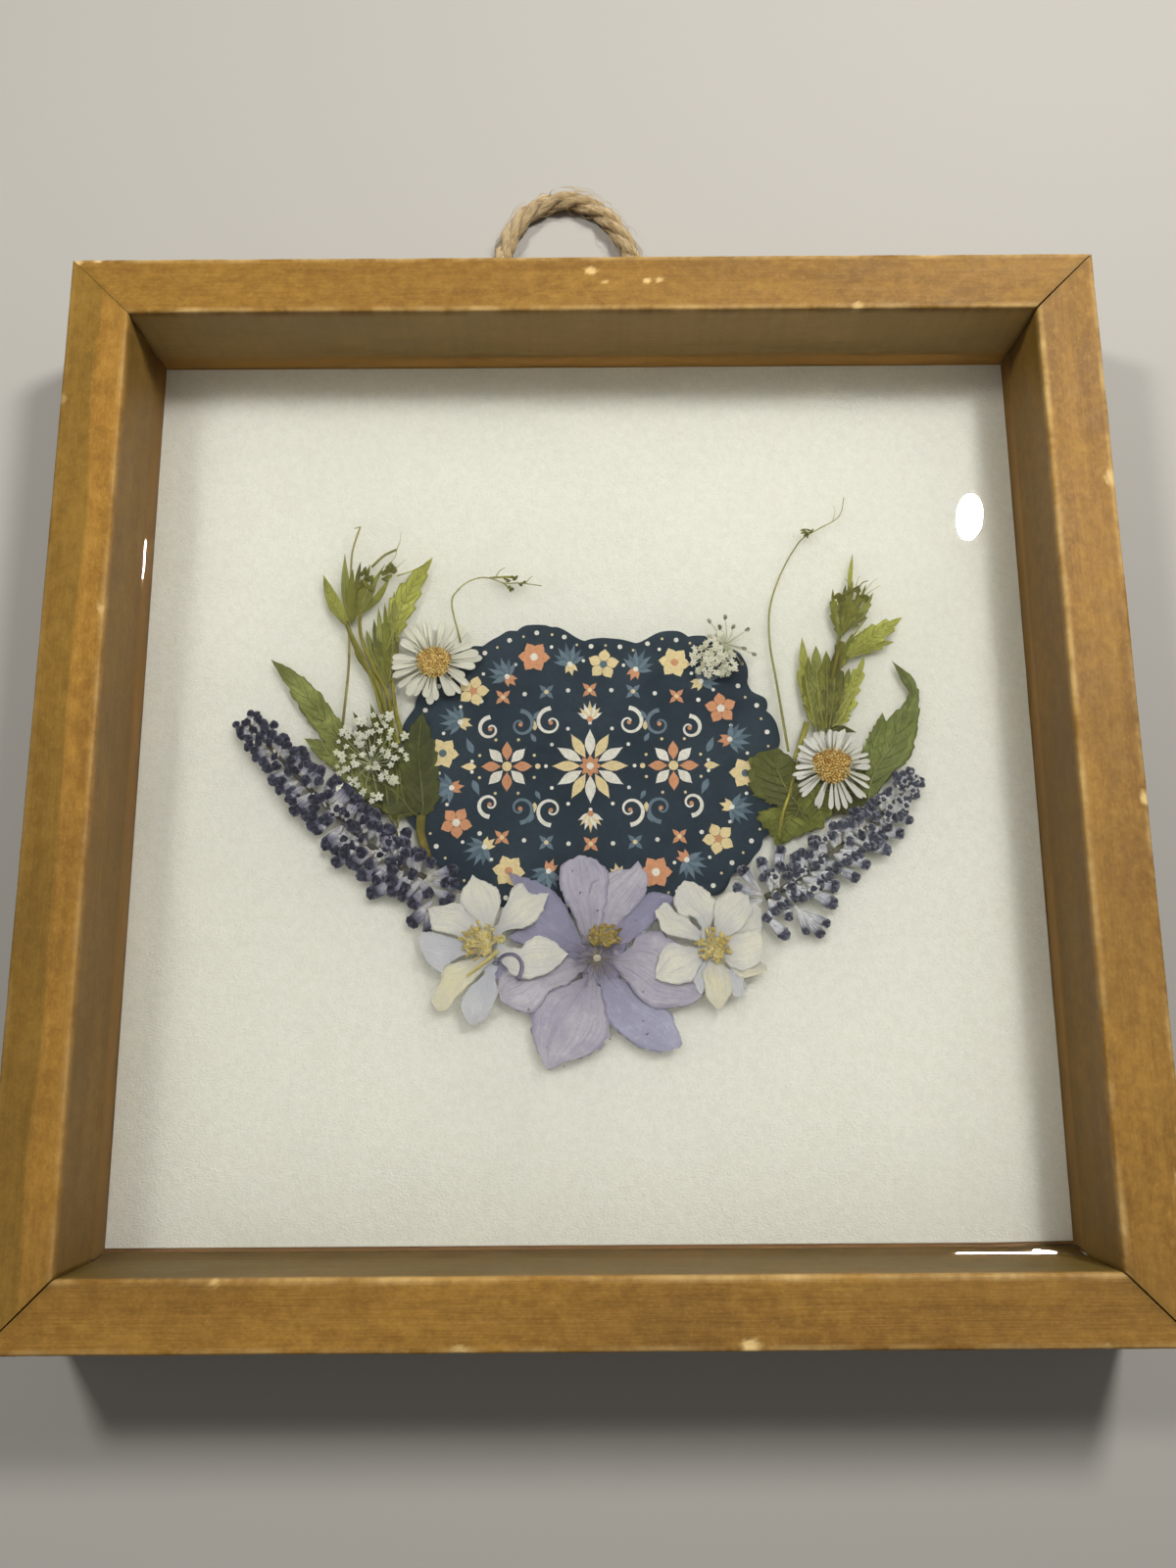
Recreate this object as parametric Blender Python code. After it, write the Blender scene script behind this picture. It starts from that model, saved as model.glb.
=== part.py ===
"""A square wooden frame lying face up. Pressed flowers and a scalloped plaque are cast in clear resin
on its white card. The origin is the middle of the back, +Z is the way the flowers face and +Y is the top.
"""

import math

import bmesh
import bpy
from mathutils import Vector

MM = 0.001

# Frame
SIDE = 228 * MM
RAIL_WIDTH = 13.4 * MM
DEPTH = 32 * MM
EDGE_CHAMFER = 0.5 * MM
GAP = 0.3 * MM

# Back panel, in a rebate behind the rails
REBATE = 4 * MM
PANEL_BACK = 2.5 * MM
PANEL_THICKNESS = 3 * MM

# White card on the panel: it stops short of the bottom rail
CARD_THICKNESS = 0.6 * MM
CARD_SHORT = 1.4 * MM

# Resin over the card, parted just above the card
RESIN_TOP = 13 * MM
FLOOR_THICKNESS = 0.5 * MM
POCKET_TOP = 11.7 * MM

# Heights of the pressed layers, bottom and top, in millimetres
PLAQUE_LAYER = (7.5, 7.8)
LEAF_LAYER = (8.1, 8.5)
SPRIG_LAYER = (8.8, 9.2)
FLOWER_LAYER = (9.5, 10.0)
TOP_LAYER = (10.3, 10.7)
STAGGER = 0.03
MERGE = 0.0005 * MM

# The plaque's outline: 1 is an ellipse, and less is nearer to a rectangle
SQUARENESS = 0.72

# Half the width of a hyacinth bell at the tip and at the foot of its spike, in millimetres
BELL_SMALL = 1.4
BELL_BIG = 2.1

# Cord
CORD_DIAMETER = 4.4 * MM
SOCKET_DEPTH = 6 * MM
CORD_HEIGHT = 6.5 * MM
CORD_ROUTE = [
    (-18.5, 108.3, 6.5),
    (-18.5, 114.0, 6.5),
    (-19.1, 120.0, 5.6),
    (-19.9, 126.5, 3.6),
    (-20.0, 133.0, 2.5),
    (-18.6, 139.6, 2.4),
    (-15.4, 145.2, 2.4),
    (-10.6, 149.2, 2.4),
    (-4.8, 150.8, 2.4),
    (0.8, 149.6, 2.4),
    (5.6, 146.2, 2.4),
    (9.4, 141.2, 2.4),
    (12.2, 135.0, 2.5),
    (13.9, 127.6, 3.6),
    (14.5, 120.6, 5.6),
    (14.6, 114.0, 6.5),
    (14.6, 108.3, 6.5),
]

HALF = SIDE / 2
OPENING = HALF - RAIL_WIDTH
PANEL_FRONT = PANEL_BACK + PANEL_THICKNESS
LEDGE = PANEL_FRONT + GAP
CARD_BACK = PANEL_FRONT + GAP
CARD_FRONT = CARD_BACK + CARD_THICKNESS
RESIN_BACK = CARD_FRONT + GAP
PARTING = RESIN_BACK + FLOOR_THICKNESS


def material(name, colour, roughness, transmission=0.0):
    """A plain material with the sub-part's colour."""
    made = bpy.data.materials.new(name)
    made.use_nodes = True
    shader = made.node_tree.nodes["Principled BSDF"]
    shader.inputs["Base Color"].default_value = (*colour, 1.0)
    shader.inputs["Roughness"].default_value = roughness
    shader.inputs["Transmission Weight"].default_value = transmission
    made.diffuse_color = (*colour, 1.0)
    return made


def add_object(name, mesh, look):
    """Link a mesh as a named object with one material."""
    thing = bpy.data.objects.new(name, mesh)
    thing.data.materials.append(look)
    bpy.context.scene.collection.objects.link(thing)
    return thing


def mesh_of(name, verts, faces):
    """A mesh from corners in metres, with its faces turned outward."""
    mesh = bpy.data.meshes.new(name)
    mesh.from_pydata(verts, [], faces)
    work = bmesh.new()
    work.from_mesh(mesh)
    bmesh.ops.recalc_face_normals(work, faces=work.faces)
    work.to_mesh(mesh)
    work.free()
    return mesh


def box(name, low, high, look):
    """A box between two corners in metres."""
    corners = [
        (x, y, z)
        for z in (low[2], high[2])
        for x, y in ((low[0], low[1]), (high[0], low[1]), (high[0], high[1]), (low[0], high[1]))
    ]
    faces = [(0, 3, 2, 1), (4, 5, 6, 7)]
    faces += [(i, (i + 1) % 4, 4 + (i + 1) % 4, 4 + i) for i in range(4)]
    return add_object(name, mesh_of(name, corners, faces), look)


def plate(outline, low, high):
    """A closed flat piece with this outline, all in millimetres: its corners and faces."""
    count = len(outline)
    verts = [(x * MM, y * MM, low * MM) for x, y in outline]
    verts += [(x * MM, y * MM, high * MM) for x, y in outline]
    faces = [tuple(reversed(range(count))), tuple(range(count, 2 * count))]
    faces += [(i, (i + 1) % count, count + (i + 1) % count, count + i) for i in range(count)]
    return verts, faces


def lump(centre, radii, angle, height, subdivisions=1):
    """A flattened ball: centre and radii in millimetres, turned by an angle in degrees."""
    work = bmesh.new()
    bmesh.ops.create_icosphere(work, subdivisions=subdivisions, radius=1.0)
    turn = math.radians(angle)
    verts = []
    for vert in work.verts:
        x = vert.co.x * radii[0]
        y = vert.co.y * radii[1]
        verts.append((
            (centre[0] + x * math.cos(turn) - y * math.sin(turn)) * MM,
            (centre[1] + x * math.sin(turn) + y * math.cos(turn)) * MM,
            (height + vert.co.z * radii[2]) * MM,
        ))
    faces = [tuple(vert.index for vert in face.verts) for face in work.faces]
    work.free()
    return verts, faces


def bud(centre, radii, angle, height, sides=5):
    """A small low double pyramid, for a floret: centre and radii in millimetres."""
    verts = [(centre[0] * MM, centre[1] * MM, (height + way * radii[2]) * MM) for way in (-1, 1)]
    turn = math.radians(angle)
    for i in range(sides):
        around = 2 * math.pi * i / sides
        x = math.cos(around) * radii[0]
        y = math.sin(around) * radii[1]
        verts.append((
            (centre[0] + x * math.cos(turn) - y * math.sin(turn)) * MM,
            (centre[1] + x * math.sin(turn) + y * math.cos(turn)) * MM,
            height * MM,
        ))
    ring = [(2 + i, 2 + (i + 1) % sides) for i in range(sides)]
    faces = [(1, a, b) for a, b in ring] + [(0, b, a) for a, b in ring]
    return verts, faces


def drop_hollows(work):
    """Crossing shells can close off a tiny hollow. Only the outer skin, the biggest island, is kept."""
    left = set(work.verts)
    islands = []
    while left:
        island = {left.pop()}
        edge_of_island = list(island)
        while edge_of_island:
            vert = edge_of_island.pop()
            fresh = {edge.other_vert(vert) for edge in vert.link_edges} & left
            left -= fresh
            island |= fresh
            edge_of_island += fresh
        islands.append(island)
    islands.sort(key=len)
    hollow = [vert for island in islands[:-1] for vert in island]
    bmesh.ops.delete(work, geom=hollow, context="VERTS")


def fuse(name, shells, look):
    """Join closed shells that overlap into one body."""
    def joined(title, parts):
        verts = []
        faces = []
        for part_verts, part_faces in parts:
            start = len(verts)
            verts += part_verts
            faces += [tuple(start + i for i in face) for face in part_faces]
        return mesh_of(title, verts, faces)

    body = add_object(name, joined(name, shells[1:]), look)
    first = add_object(name + "_first", joined(name + "_first", shells[:1]), look)
    union = body.modifiers.new("Union", "BOOLEAN")
    union.operation = "UNION"
    union.solver = "EXACT"
    union.use_self = True
    union.object = first
    fused = bpy.data.meshes.new_from_object(body.evaluated_get(bpy.context.evaluated_depsgraph_get()))
    body.modifiers.remove(union)
    body.data = fused
    bpy.data.objects.remove(first)
    work = bmesh.new()
    work.from_mesh(fused)
    bmesh.ops.remove_doubles(work, verts=work.verts, dist=MERGE)
    drop_hollows(work)
    bmesh.ops.dissolve_limit(
        work, angle_limit=math.radians(0.5), verts=work.verts, edges=work.edges
    )
    work.to_mesh(fused)
    work.free()
    return body


def blade(base, tip, width, bend=0.0, peak=0.5, stub=0.15, blunt=1.0, steps=4):
    """Outline of a leaf or petal. The rib bends to its left by bend times its length; the blade is
    widest at peak, starts stub times as wide, and a smaller blunt gives a rounder tip."""
    start = Vector(base)
    along = Vector(tip) - start
    side = Vector((-along.y, along.x))
    reach = side.normalized() * width / 2

    def rib(t):
        return start + along * t + side * (bend * 4 * t * (1 - t))

    def half(t):
        if t < peak:
            return stub + (1 - stub) * math.sin(math.pi / 2 * t / peak)
        return math.cos(math.pi / 2 * (t - peak) / (1 - peak)) ** blunt

    places = [i / steps for i in range(steps)]
    left = [rib(t) + reach * half(t) for t in places]
    right = [rib(t) - reach * half(t) for t in reversed(places)]
    return [tuple(point) for point in [*left, rib(1.0), *right]]


def ribbon(path, width, end_width=None):
    """Outline of a flat stem along a path, in millimetres, from one width to another."""
    if end_width is None:
        end_width = width
    points = [Vector(point) for point in path]
    left = []
    right = []
    for i, point in enumerate(points):
        ahead = points[min(i + 1, len(points) - 1)] - points[max(i - 1, 0)]
        side = Vector((-ahead.y, ahead.x)).normalized()
        half = (width + (end_width - width) * i / (len(points) - 1)) / 2
        left.append(tuple(point + side * half))
        right.append(tuple(point - side * half))
    return left + right[::-1]


def smooth(points, per_span):
    """Points along a smooth curve through the given points."""
    knots = [Vector(point) for point in points]
    knots = [knots[0] * 2 - knots[1], *knots, knots[-1] * 2 - knots[-2]]
    curve = []
    for a, b, c, d in zip(knots, knots[1:], knots[2:], knots[3:]):
        for step in range(per_span):
            t = step / per_span
            curve.append(
                ((b * 2) + (c - a) * t + (a * 2 - b * 5 + c * 4 - d) * t**2
                 + (b * 3 - a - c * 3 + d) * t**3) * 0.5
            )
    curve.append(knots[-2])
    return curve


def layered(outlines, layer):
    """Plates in one layer. Each starts a little higher than the last, so that no two faces lie in one
    plane where they cross."""
    low, high = layer
    shells = []
    for i, outline in enumerate(outlines):
        lift = STAGGER * (i % 8)
        shells.append(plate(outline, low + lift, high + lift - STAGGER * 8))
    return shells


def rail(name, turn, look, sockets=()):
    """One mitred rail. It is drawn as the top rail and turned about the middle of the frame."""
    profile = [
        (0, 0),
        (0, DEPTH - EDGE_CHAMFER),
        (EDGE_CHAMFER, DEPTH),
        (RAIL_WIDTH - EDGE_CHAMFER, DEPTH),
        (RAIL_WIDTH, DEPTH - EDGE_CHAMFER),
        (RAIL_WIDTH, LEDGE),
        (RAIL_WIDTH - REBATE, LEDGE),
        (RAIL_WIDTH - REBATE, 0),
    ]
    mitre_gap = GAP * math.sqrt(2) / 2
    verts = []
    for side in (-1, 1):
        verts += [(side * (HALF - inset - mitre_gap), HALF - inset, z) for inset, z in profile]
    count = len(profile)
    faces = [tuple(range(count)), tuple(reversed(range(count, 2 * count)))]
    faces += [(i, count + i, count + (i + 1) % count, (i + 1) % count) for i in range(count)]
    made = add_object(name, mesh_of(name, verts, faces), look)
    for number, x in enumerate(sockets):
        radius = CORD_DIAMETER / 2 + GAP
        bpy.ops.mesh.primitive_cylinder_add(
            vertices=16, radius=radius, depth=2 * SOCKET_DEPTH,
            location=(x * MM, HALF, CORD_HEIGHT), rotation=(math.pi / 2, 0, 0),
        )
        drill = bpy.context.object
        drill.name = f"{name}_drill_{number}"
        drill.hide_render = True
        drill.display_type = "WIRE"
        cut = made.modifiers.new("Socket", "BOOLEAN")
        cut.operation = "DIFFERENCE"
        cut.solver = "EXACT"
        cut.object = drill
    made.rotation_euler.z = math.radians(turn)
    return made


def build_frame():
    """Four rails, the panel behind them and the card on it."""
    wood = material("ochre_wood", (0.38, 0.21, 0.075), 0.55)
    sockets = (CORD_ROUTE[0][0], CORD_ROUTE[-1][0])
    rail("rail_top", 0, wood, sockets)
    rail("rail_left", 90, wood)
    rail("rail_bottom", 180, wood)
    rail("rail_right", 270, wood)
    reach = OPENING + REBATE - GAP
    panel_wood = material("panel_wood", (0.3, 0.17, 0.08), 0.6)
    box("back_panel", (-reach, -reach, PANEL_BACK), (reach, reach, PANEL_FRONT), panel_wood)
    edge = OPENING - GAP
    card = material("white_card", (0.78, 0.76, 0.7), 0.6)
    box("backing_card", (-edge, -OPENING + CARD_SHORT, CARD_BACK), (edge, edge, CARD_FRONT), card)


def build_resin():
    """The clear resin, parted above the card, with one pocket around everything pressed in it."""
    clear = material("clear_resin", (0.95, 0.95, 0.92), 0.05, 1.0)
    edge = OPENING - GAP
    box("resin_floor", (-edge, -edge, RESIN_BACK), (edge, edge, PARTING), clear)
    cover = box("resin_cover", (-edge, -edge, PARTING + GAP), (edge, edge, RESIN_TOP), clear)
    outline = [
        (-81, 12), (-79, 18), (-74, 30), (-70, 31), (-65, 46), (-62, 52), (-57, 63), (-40, 63),
        (-32, 56), (-20, 53), (-7, 49), (-6, 40), (24, 40), (38, 42), (46, 59), (57, 70), (64, 69),
        (70, 50), (76, 39), (79, 22), (80, -5), (71, -19), (57, -33), (53, -39), (42, -48),
        (34, -53), (23, -62), (8, -64), (-9, -67), (-15, -57), (-26, -58), (-38, -53),
        (-41, -37), (-50, -30), (-63, -16), (-77, -1),
    ]
    cutter = add_object("pocket", mesh_of("pocket", *plate(outline, 0, POCKET_TOP / MM)), clear)
    cutter.hide_render = True
    cutter.display_type = "WIRE"
    cut = cover.modifiers.new("Pocket", "BOOLEAN")
    cut.operation = "DIFFERENCE"
    cut.solver = "EXACT"
    cut.object = cutter


def build_plaque():
    """A thin dark plaque with a scalloped edge, lowest of the layers."""
    look = material("plaque_paper", (0.022, 0.04, 0.052), 0.5)
    centre = (0.8, 3.8)
    reach = (40.8, 30.6)
    lobes = 17
    steps = 4
    outline = []
    for i in range(lobes * steps):
        angle = 2 * math.pi * i / (lobes * steps)
        bulge = abs(math.sin(math.pi * i / steps))
        sway = 0.022 * math.sin(3 * angle + 0.6) + 0.018 * math.sin(5 * angle + 2.2)
        radius = 0.965 + 0.05 * bulge + sway
        round_x = math.copysign(abs(math.cos(angle)) ** SQUARENESS, math.cos(angle))
        round_y = math.copysign(abs(math.sin(angle)) ** SQUARENESS, math.sin(angle))
        outline.append((centre[0] + reach[0] * radius * round_x, centre[1] + reach[1] * radius * round_y))
    low, high = PLAQUE_LAYER
    add_object("scalloped_plaque", mesh_of("scalloped_plaque", *plate(outline, low, high)), look)


def build_leaves():
    """The two big lobed leaves, with the leaves that lie under the flowers."""
    green = material("leaf_green", (0.16, 0.19, 0.04), 0.6)
    left = [
        blade((-44, -1), (-71.5, 27.5), 11.5, bend=0.03, peak=0.45, stub=0.7, blunt=1.3, steps=6),
        blade((-48, 3), (-63.4, 9.2), 6.0, bend=0.06, peak=0.5, stub=0.9),
        blade((-50, 6), (-63.2, 14.6), 6.0, bend=-0.05, peak=0.4, stub=0.9),
        blade((-44, -3), (-56.5, 1.0), 8.0, peak=0.5, stub=0.9),
        blade((-44, 0), (-52.6, 15.4), 7.0, peak=0.4, stub=0.9, blunt=1.4),
        blade((-43, 0), (-48.2, 16.8), 6.0, peak=0.4, stub=0.9, blunt=1.4),
        blade((-36, -8), (-36.8, 14.6), 7.2, bend=0.05, peak=0.45, stub=0.5, blunt=1.2, steps=6),
        blade((-42, 7), (-42.5, -10.5), 12.0, peak=0.5, stub=0.8, blunt=0.7),
        blade((-40, 4), (-48.5, -8.5), 8.0, peak=0.5, stub=0.8),
        blade((-40, 2), (-34.5, -9.5), 8.0, peak=0.5, stub=0.7, blunt=0.8),
        ribbon([(-37.5, -6), (-36, -11), (-34.6, -17), (-34, -23)], 2.6, 2.0),
    ]
    fuse("leaf_left", layered(left, LEAF_LAYER), green)
    right = [
        blade((62, -5), (75.2, 20), 14.0, bend=-0.06, peak=0.55, stub=0.6, blunt=0.9, steps=6),
        blade((73.4, 13), (69.7, 26.2), 5.6, bend=-0.16, peak=0.35, stub=0.9, blunt=1.2),
        blade((65, 2), (66.9, 14.2), 7.0, peak=0.4, stub=0.9, blunt=1.3),
        blade((61, -1), (70, -2.5), 7.0, peak=0.4, stub=0.9),
        blade((50, -4), (65, -5), 8.0, peak=0.5, stub=0.9),
        blade((48, -1), (36.2, 1.0), 12.0, bend=0.05, peak=0.5, stub=0.9, blunt=0.6),
        blade((49, -5), (36.6, -8.0), 10.0, peak=0.5, stub=0.9, blunt=0.6),
        blade((47, -6), (41.6, -16.0), 6.4, peak=0.5, stub=0.9, blunt=0.8),
        blade((50, -3), (46.5, -15.0), 9.0, peak=0.5, stub=0.9, blunt=0.7),
        blade((47, -4), (56, -10.0), 10.0, peak=0.6, stub=0.9, blunt=0.7),
        blade((50, 0), (45.6, 7.0), 8.0, peak=0.5, stub=0.9, blunt=0.8),
    ]
    fuse("leaf_right", layered(right, LEAF_LAYER), green)


def build_sprigs():
    """The two upright sprigs with their buds, and the two curling tendrils."""
    green = material("sprig_green", (0.2, 0.2, 0.035), 0.6)
    left = [
        ribbon([(-53.6, 39), (-53, 32), (-50.2, 26), (-47.4, 21.5), (-44.2, 13), (-42, 6.5)], 1.6, 2.4),
        ribbon([(-44.2, 27), (-43.7, 22), (-42.9, 15.6), (-41, 7.5)], 1.2, 1.4),
        ribbon([(-52.2, 59.6), (-53.4, 55), (-54, 48.4), (-54, 40), (-53.9, 28), (-54.7, 12)], 0.5, 0.7),
        blade((-53.6, 33.5), (-60.3, 47.6), 3.6, bend=0.05, peak=0.45, stub=0.4, blunt=1.3),
        blade((-53.8, 38), (-55.7, 52.6), 2.6, peak=0.5, stub=0.4),
        blade((-53.4, 35), (-50.6, 50.6), 6.6, peak=0.55, stub=0.4, blunt=0.6),
        blade((-52.6, 35.5), (-44.8, 46.8), 4.0, bend=-0.08, peak=0.6, stub=0.4, blunt=0.7),
        blade((-47.4, 45.2), (-43.2, 49.4), 5.0, peak=0.5, stub=0.6, blunt=0.6),
        ribbon([(-50, 49), (-47.6, 51.8), (-43.4, 54.0)], 0.9, 0.5),
        ribbon([(-44.2, 47.4), (-39.7, 48.8), (-36.6, 50.6)], 0.6, 0.4),
        blade((-45.4, 30.2), (-35.3, 52.1), 6.4, bend=0.03, peak=0.42, stub=0.3, blunt=1.4, steps=6),
        blade((-46, 20.8), (-48.6, 36.8), 5.0, bend=0.06, peak=0.5, stub=0.3, blunt=1.2),
        blade((-45, 21), (-46.2, 40.4), 4.6, peak=0.5, stub=0.3, blunt=1.3),
        blade((-44.4, 22), (-43.8, 43.4), 4.0, bend=0.05, peak=0.45, stub=0.4, blunt=1.3),
    ]
    fuse("sprig_left", layered(left, SPRIG_LAYER), green)
    right = [
        ribbon([(61, 40), (61.6, 46), (62.2, 52.2)], 1.4, 0.6),
        ribbon([(60.8, 38), (58.8, 31), (57.2, 25)], 2.2, 1.6),
        ribbon([(61.6, 37), (60.6, 30), (59, 22)], 1.8, 2.0),
        blade((59.6, 31.5), (57.8, 43.4), 4.4, bend=0.06, peak=0.6, stub=0.4, blunt=0.6),
        blade((60.2, 34), (61.6, 45), 4.4, peak=0.6, stub=0.5, blunt=0.6),
        blade((61, 33.5), (66, 42.6), 4.4, bend=-0.1, peak=0.6, stub=0.4, blunt=0.6),
        blade((60, 24), (72.7, 36.4), 7.0, bend=-0.16, peak=0.72, stub=0.5, blunt=0.8, steps=6),
        blade((61, 28), (65.2, 36.8), 1.8, bend=-0.06, peak=0.5, stub=0.5),
        blade((57.6, 12), (63.8, 27.4), 8.4, peak=0.6, stub=0.6, blunt=0.7, steps=5),
        blade((55, 9.4), (56.2, 28.6), 9.6, peak=0.5, stub=0.8, blunt=0.5, steps=5),
        blade((52.6, 9), (52.2, 29.4), 6.6, peak=0.5, stub=0.8, blunt=0.6, steps=5),
        blade((51.4, 13), (49.4, 31.8), 4.4, bend=0.05, peak=0.5, stub=0.6, blunt=1.2, steps=5),
        blade((55, 10.5), (60.8, 9.6), 2.6, peak=0.4, stub=0.8),
        ribbon([(52.4, 12.5), (49.6, 10.4), (48.2, 6.5), (46.9, 3.2)], 2.4, 1.0),
    ]
    fuse("sprig_right", layered(right, SPRIG_LAYER), green)
    curls = {
        "tendril_left": [
            [(-28.6, 31.2), (-29.4, 35), (-30.6, 40.2), (-29.6, 43.6), (-26.4, 46.2), (-22.6, 47),
             (-18.4, 46), (-14.6, 45.6), (-10, 44.9)],
            [(-21.4, 46.8), (-19.8, 47.6), (-18.5, 49.4)],
            [(-18.4, 46), (-17.2, 46.9), (-15.6, 47.3)],
            [(-18.2, 46), (-17.4, 44.6), (-16.8, 43.2)],
        ],
        "tendril_right": [
            [(45.6, 5.0), (44.8, 10), (44, 16.5), (43.1, 23.4), (42.2, 30.2), (42.1, 36), (43.1, 41.5),
             (45.3, 47.5), (48.1, 52.5), (51, 56.2), (54.9, 58.6), (59, 61.4), (61, 66.3)],
            [(50.6, 55.7), (51.2, 57.4), (52.4, 57.9)],
        ],
    }
    for name, paths in curls.items():
        outlines = [ribbon([tuple(p) for p in smooth(path, 1)], 0.7, 0.5) for path in paths]
        fuse(name, layered(outlines, SPRIG_LAYER), green)


def columbine(name, heart, petals, stamens, layer, look):
    """One open flower: petals from its heart, and a low crust of stamens."""
    outlines = [
        blade(heart, tip, width, bend=bend, peak=peak, stub=0.3, blunt=blunt, steps=5)
        for tip, width, bend, peak, blunt in petals
    ]
    shells = layered(outlines, layer)
    middle, reach = stamens
    shells.append(lump(middle, (reach, reach * 0.9, 0.45), 20, layer[1] - 0.15, 2))
    fuse(name, shells, look)


def build_columbines():
    """The lavender flower in the middle and the white one on each side of it."""
    lavender = material("lavender_petal", (0.3, 0.28, 0.4), 0.6)
    white = material("white_petal", (0.72, 0.69, 0.55), 0.6)
    # Each petal: tip, width, bend, where it is widest, and how blunt its tip is
    columbine("columbine_middle", (2.0, -40.0), [
        ((-1.2, -18.0), 11.0, 0.04, 0.66, 0.45),
        ((8.6, -19.2), 13.0, -0.04, 0.66, 0.4),
        ((20.4, -27.2), 9.0, 0.06, 0.65, 0.5),
        ((25.2, -46.8), 16.0, 0.1, 0.62, 0.4),
        ((19.2, -59.4), 12.0, -0.08, 0.62, 0.45),
        ((-6.8, -63.2), 16.5, 0.02, 0.66, 0.4),
        ((-19.2, -46.0), 14.0, -0.02, 0.6, 0.4),
        ((-16.4, -22.2), 9.6, 0.08, 0.6, 0.6),
    ], ((3.9, -35.6), 3.6), FLOWER_LAYER, lavender)
    columbine("columbine_left", (-20.8, -37.6), [
        ((-25.2, -22.2), 9.6, -0.05, 0.62, 0.5),
        ((-8.6, -25.6), 9.6, 0.06, 0.62, 0.6),
        ((-4.2, -39.4), 9.4, 0.0, 0.6, 0.8),
        ((-34.6, -29.4), 6.6, -0.05, 0.62, 0.5),
        ((-35.4, -39.8), 8.4, 0.05, 0.6, 0.45),
        ((-32.6, -51.0), 4.8, -0.06, 0.6, 0.6),
        ((-24.8, -54.4), 7.8, -0.03, 0.66, 0.5),
    ], ((-23.2, -36.6), 4.2), TOP_LAYER, white)
    columbine("columbine_right", (26.8, -38.2), [
        ((21.8, -23.8), 8.4, -0.04, 0.62, 0.45),
        ((34.0, -26.4), 8.2, -0.02, 0.62, 0.45),
        ((38.0, -38.0), 9.2, 0.0, 0.62, 0.4),
        ((38.6, -43.0), 5.0, -0.05, 0.6, 0.6),
        ((15.2, -31.4), 7.2, -0.05, 0.6, 0.5),
        ((15.2, -43.6), 8.2, 0.0, 0.6, 0.45),
        ((28.6, -51.2), 6.4, -0.02, 0.6, 0.6),
        ((33.4, -48.8), 4.0, 0.0, 0.6, 0.6),
    ], ((27.6, -38.0), 4.0), TOP_LAYER, white)


def daisy(name, centre, disc, reaches, look):
    """A ring of narrow petals around a low domed disc. The reaches run round from the +X side."""
    count = 18
    outlines = []
    for i in range(count):
        angle = 2 * math.pi * i / count
        place = i / count * len(reaches)
        near = reaches[int(place)]
        far = reaches[(int(place) + 1) % len(reaches)]
        reach = near + (far - near) * (place - int(place))
        way = Vector((math.cos(angle), math.sin(angle)))
        base = Vector(centre) + way * disc * 0.6
        tip = Vector(centre) + way * reach
        outlines.append(blade(base, tip, 1.9, peak=0.7, stub=0.5, blunt=0.5, steps=2))
    shells = layered(outlines, FLOWER_LAYER)
    shells.append(lump(centre, (disc, disc, 0.75), 0, FLOWER_LAYER[1] - 0.1, 2))
    fuse(name, shells, look)


def build_daisies():
    """The two daisies."""
    look = material("daisy_white", (0.75, 0.73, 0.62), 0.6)
    daisy("daisy_left", (-34.5, 26.8), 3.7, (9.6, 9.6, 9.9, 9.4, 9.9, 9.2, 9.6, 9.8), look)
    daisy("daisy_right", (55.1, 2.0), 4.2, (9.2, 9.6, 8.2, 9.0, 8.6, 10.4, 11.2, 9.4), look)


def umbel(name, hub, clusters, look):
    """A lace flower: rays from its hub, each ending in a small flat cluster of florets."""
    shells = layered([ribbon([hub, (x, y)], 0.5, 0.5) for x, y, size in clusters], FLOWER_LAYER)
    for i, (x, y, size) in enumerate(clusters):
        height = FLOWER_LAYER[0] + 0.3 + 0.02 * (i % 5)
        shells.append(bud((x, y), (size, size, 0.26), 25 * i + 4, height))
    shells.append(bud(hub, (1.2, 1.2, 0.27), 9, FLOWER_LAYER[0] + 0.27))
    fuse(name, shells, look)


def build_umbels():
    """The two lace flowers."""
    look = material("lace_cream", (0.68, 0.66, 0.5), 0.6)
    umbel("lace_flower_left", (-49.4, 4.4), [
        (-56.0, 3.6, 1.9), (-52.6, -0.6, 2.0), (-54.6, 9.6, 1.8),
        (-50.6, 13.2, 2.2), (-46.8, 11.0, 1.7), (-51.2, 9.2, 1.8), (-43.6, 9.0, 1.4),
        (-41.0, 4.4, 2.0), (-44.6, 1.6, 1.9), (-48.6, 1.2, 1.6), (-46.4, -3.4, 1.9),
        (-50.4, -2.6, 1.7),
    ], look)
    umbel("lace_flower_right", (32.2, 30.6), [
        (28.5, 36.0, 0.7), (32.2, 37.0, 0.7), (34.2, 34.8, 0.6), (37.2, 34.2, 0.7),
        (36.2, 29.4, 0.7), (38.4, 28.2, 0.8), (26.0, 31.6, 2.2),
        (29.2, 31.8, 1.5), (25.4, 28.2, 1.5), (28.4, 27.6, 2.0), (31.8, 27.2, 1.8),
        (33.2, 23.0, 1.8),
    ], look)


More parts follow.
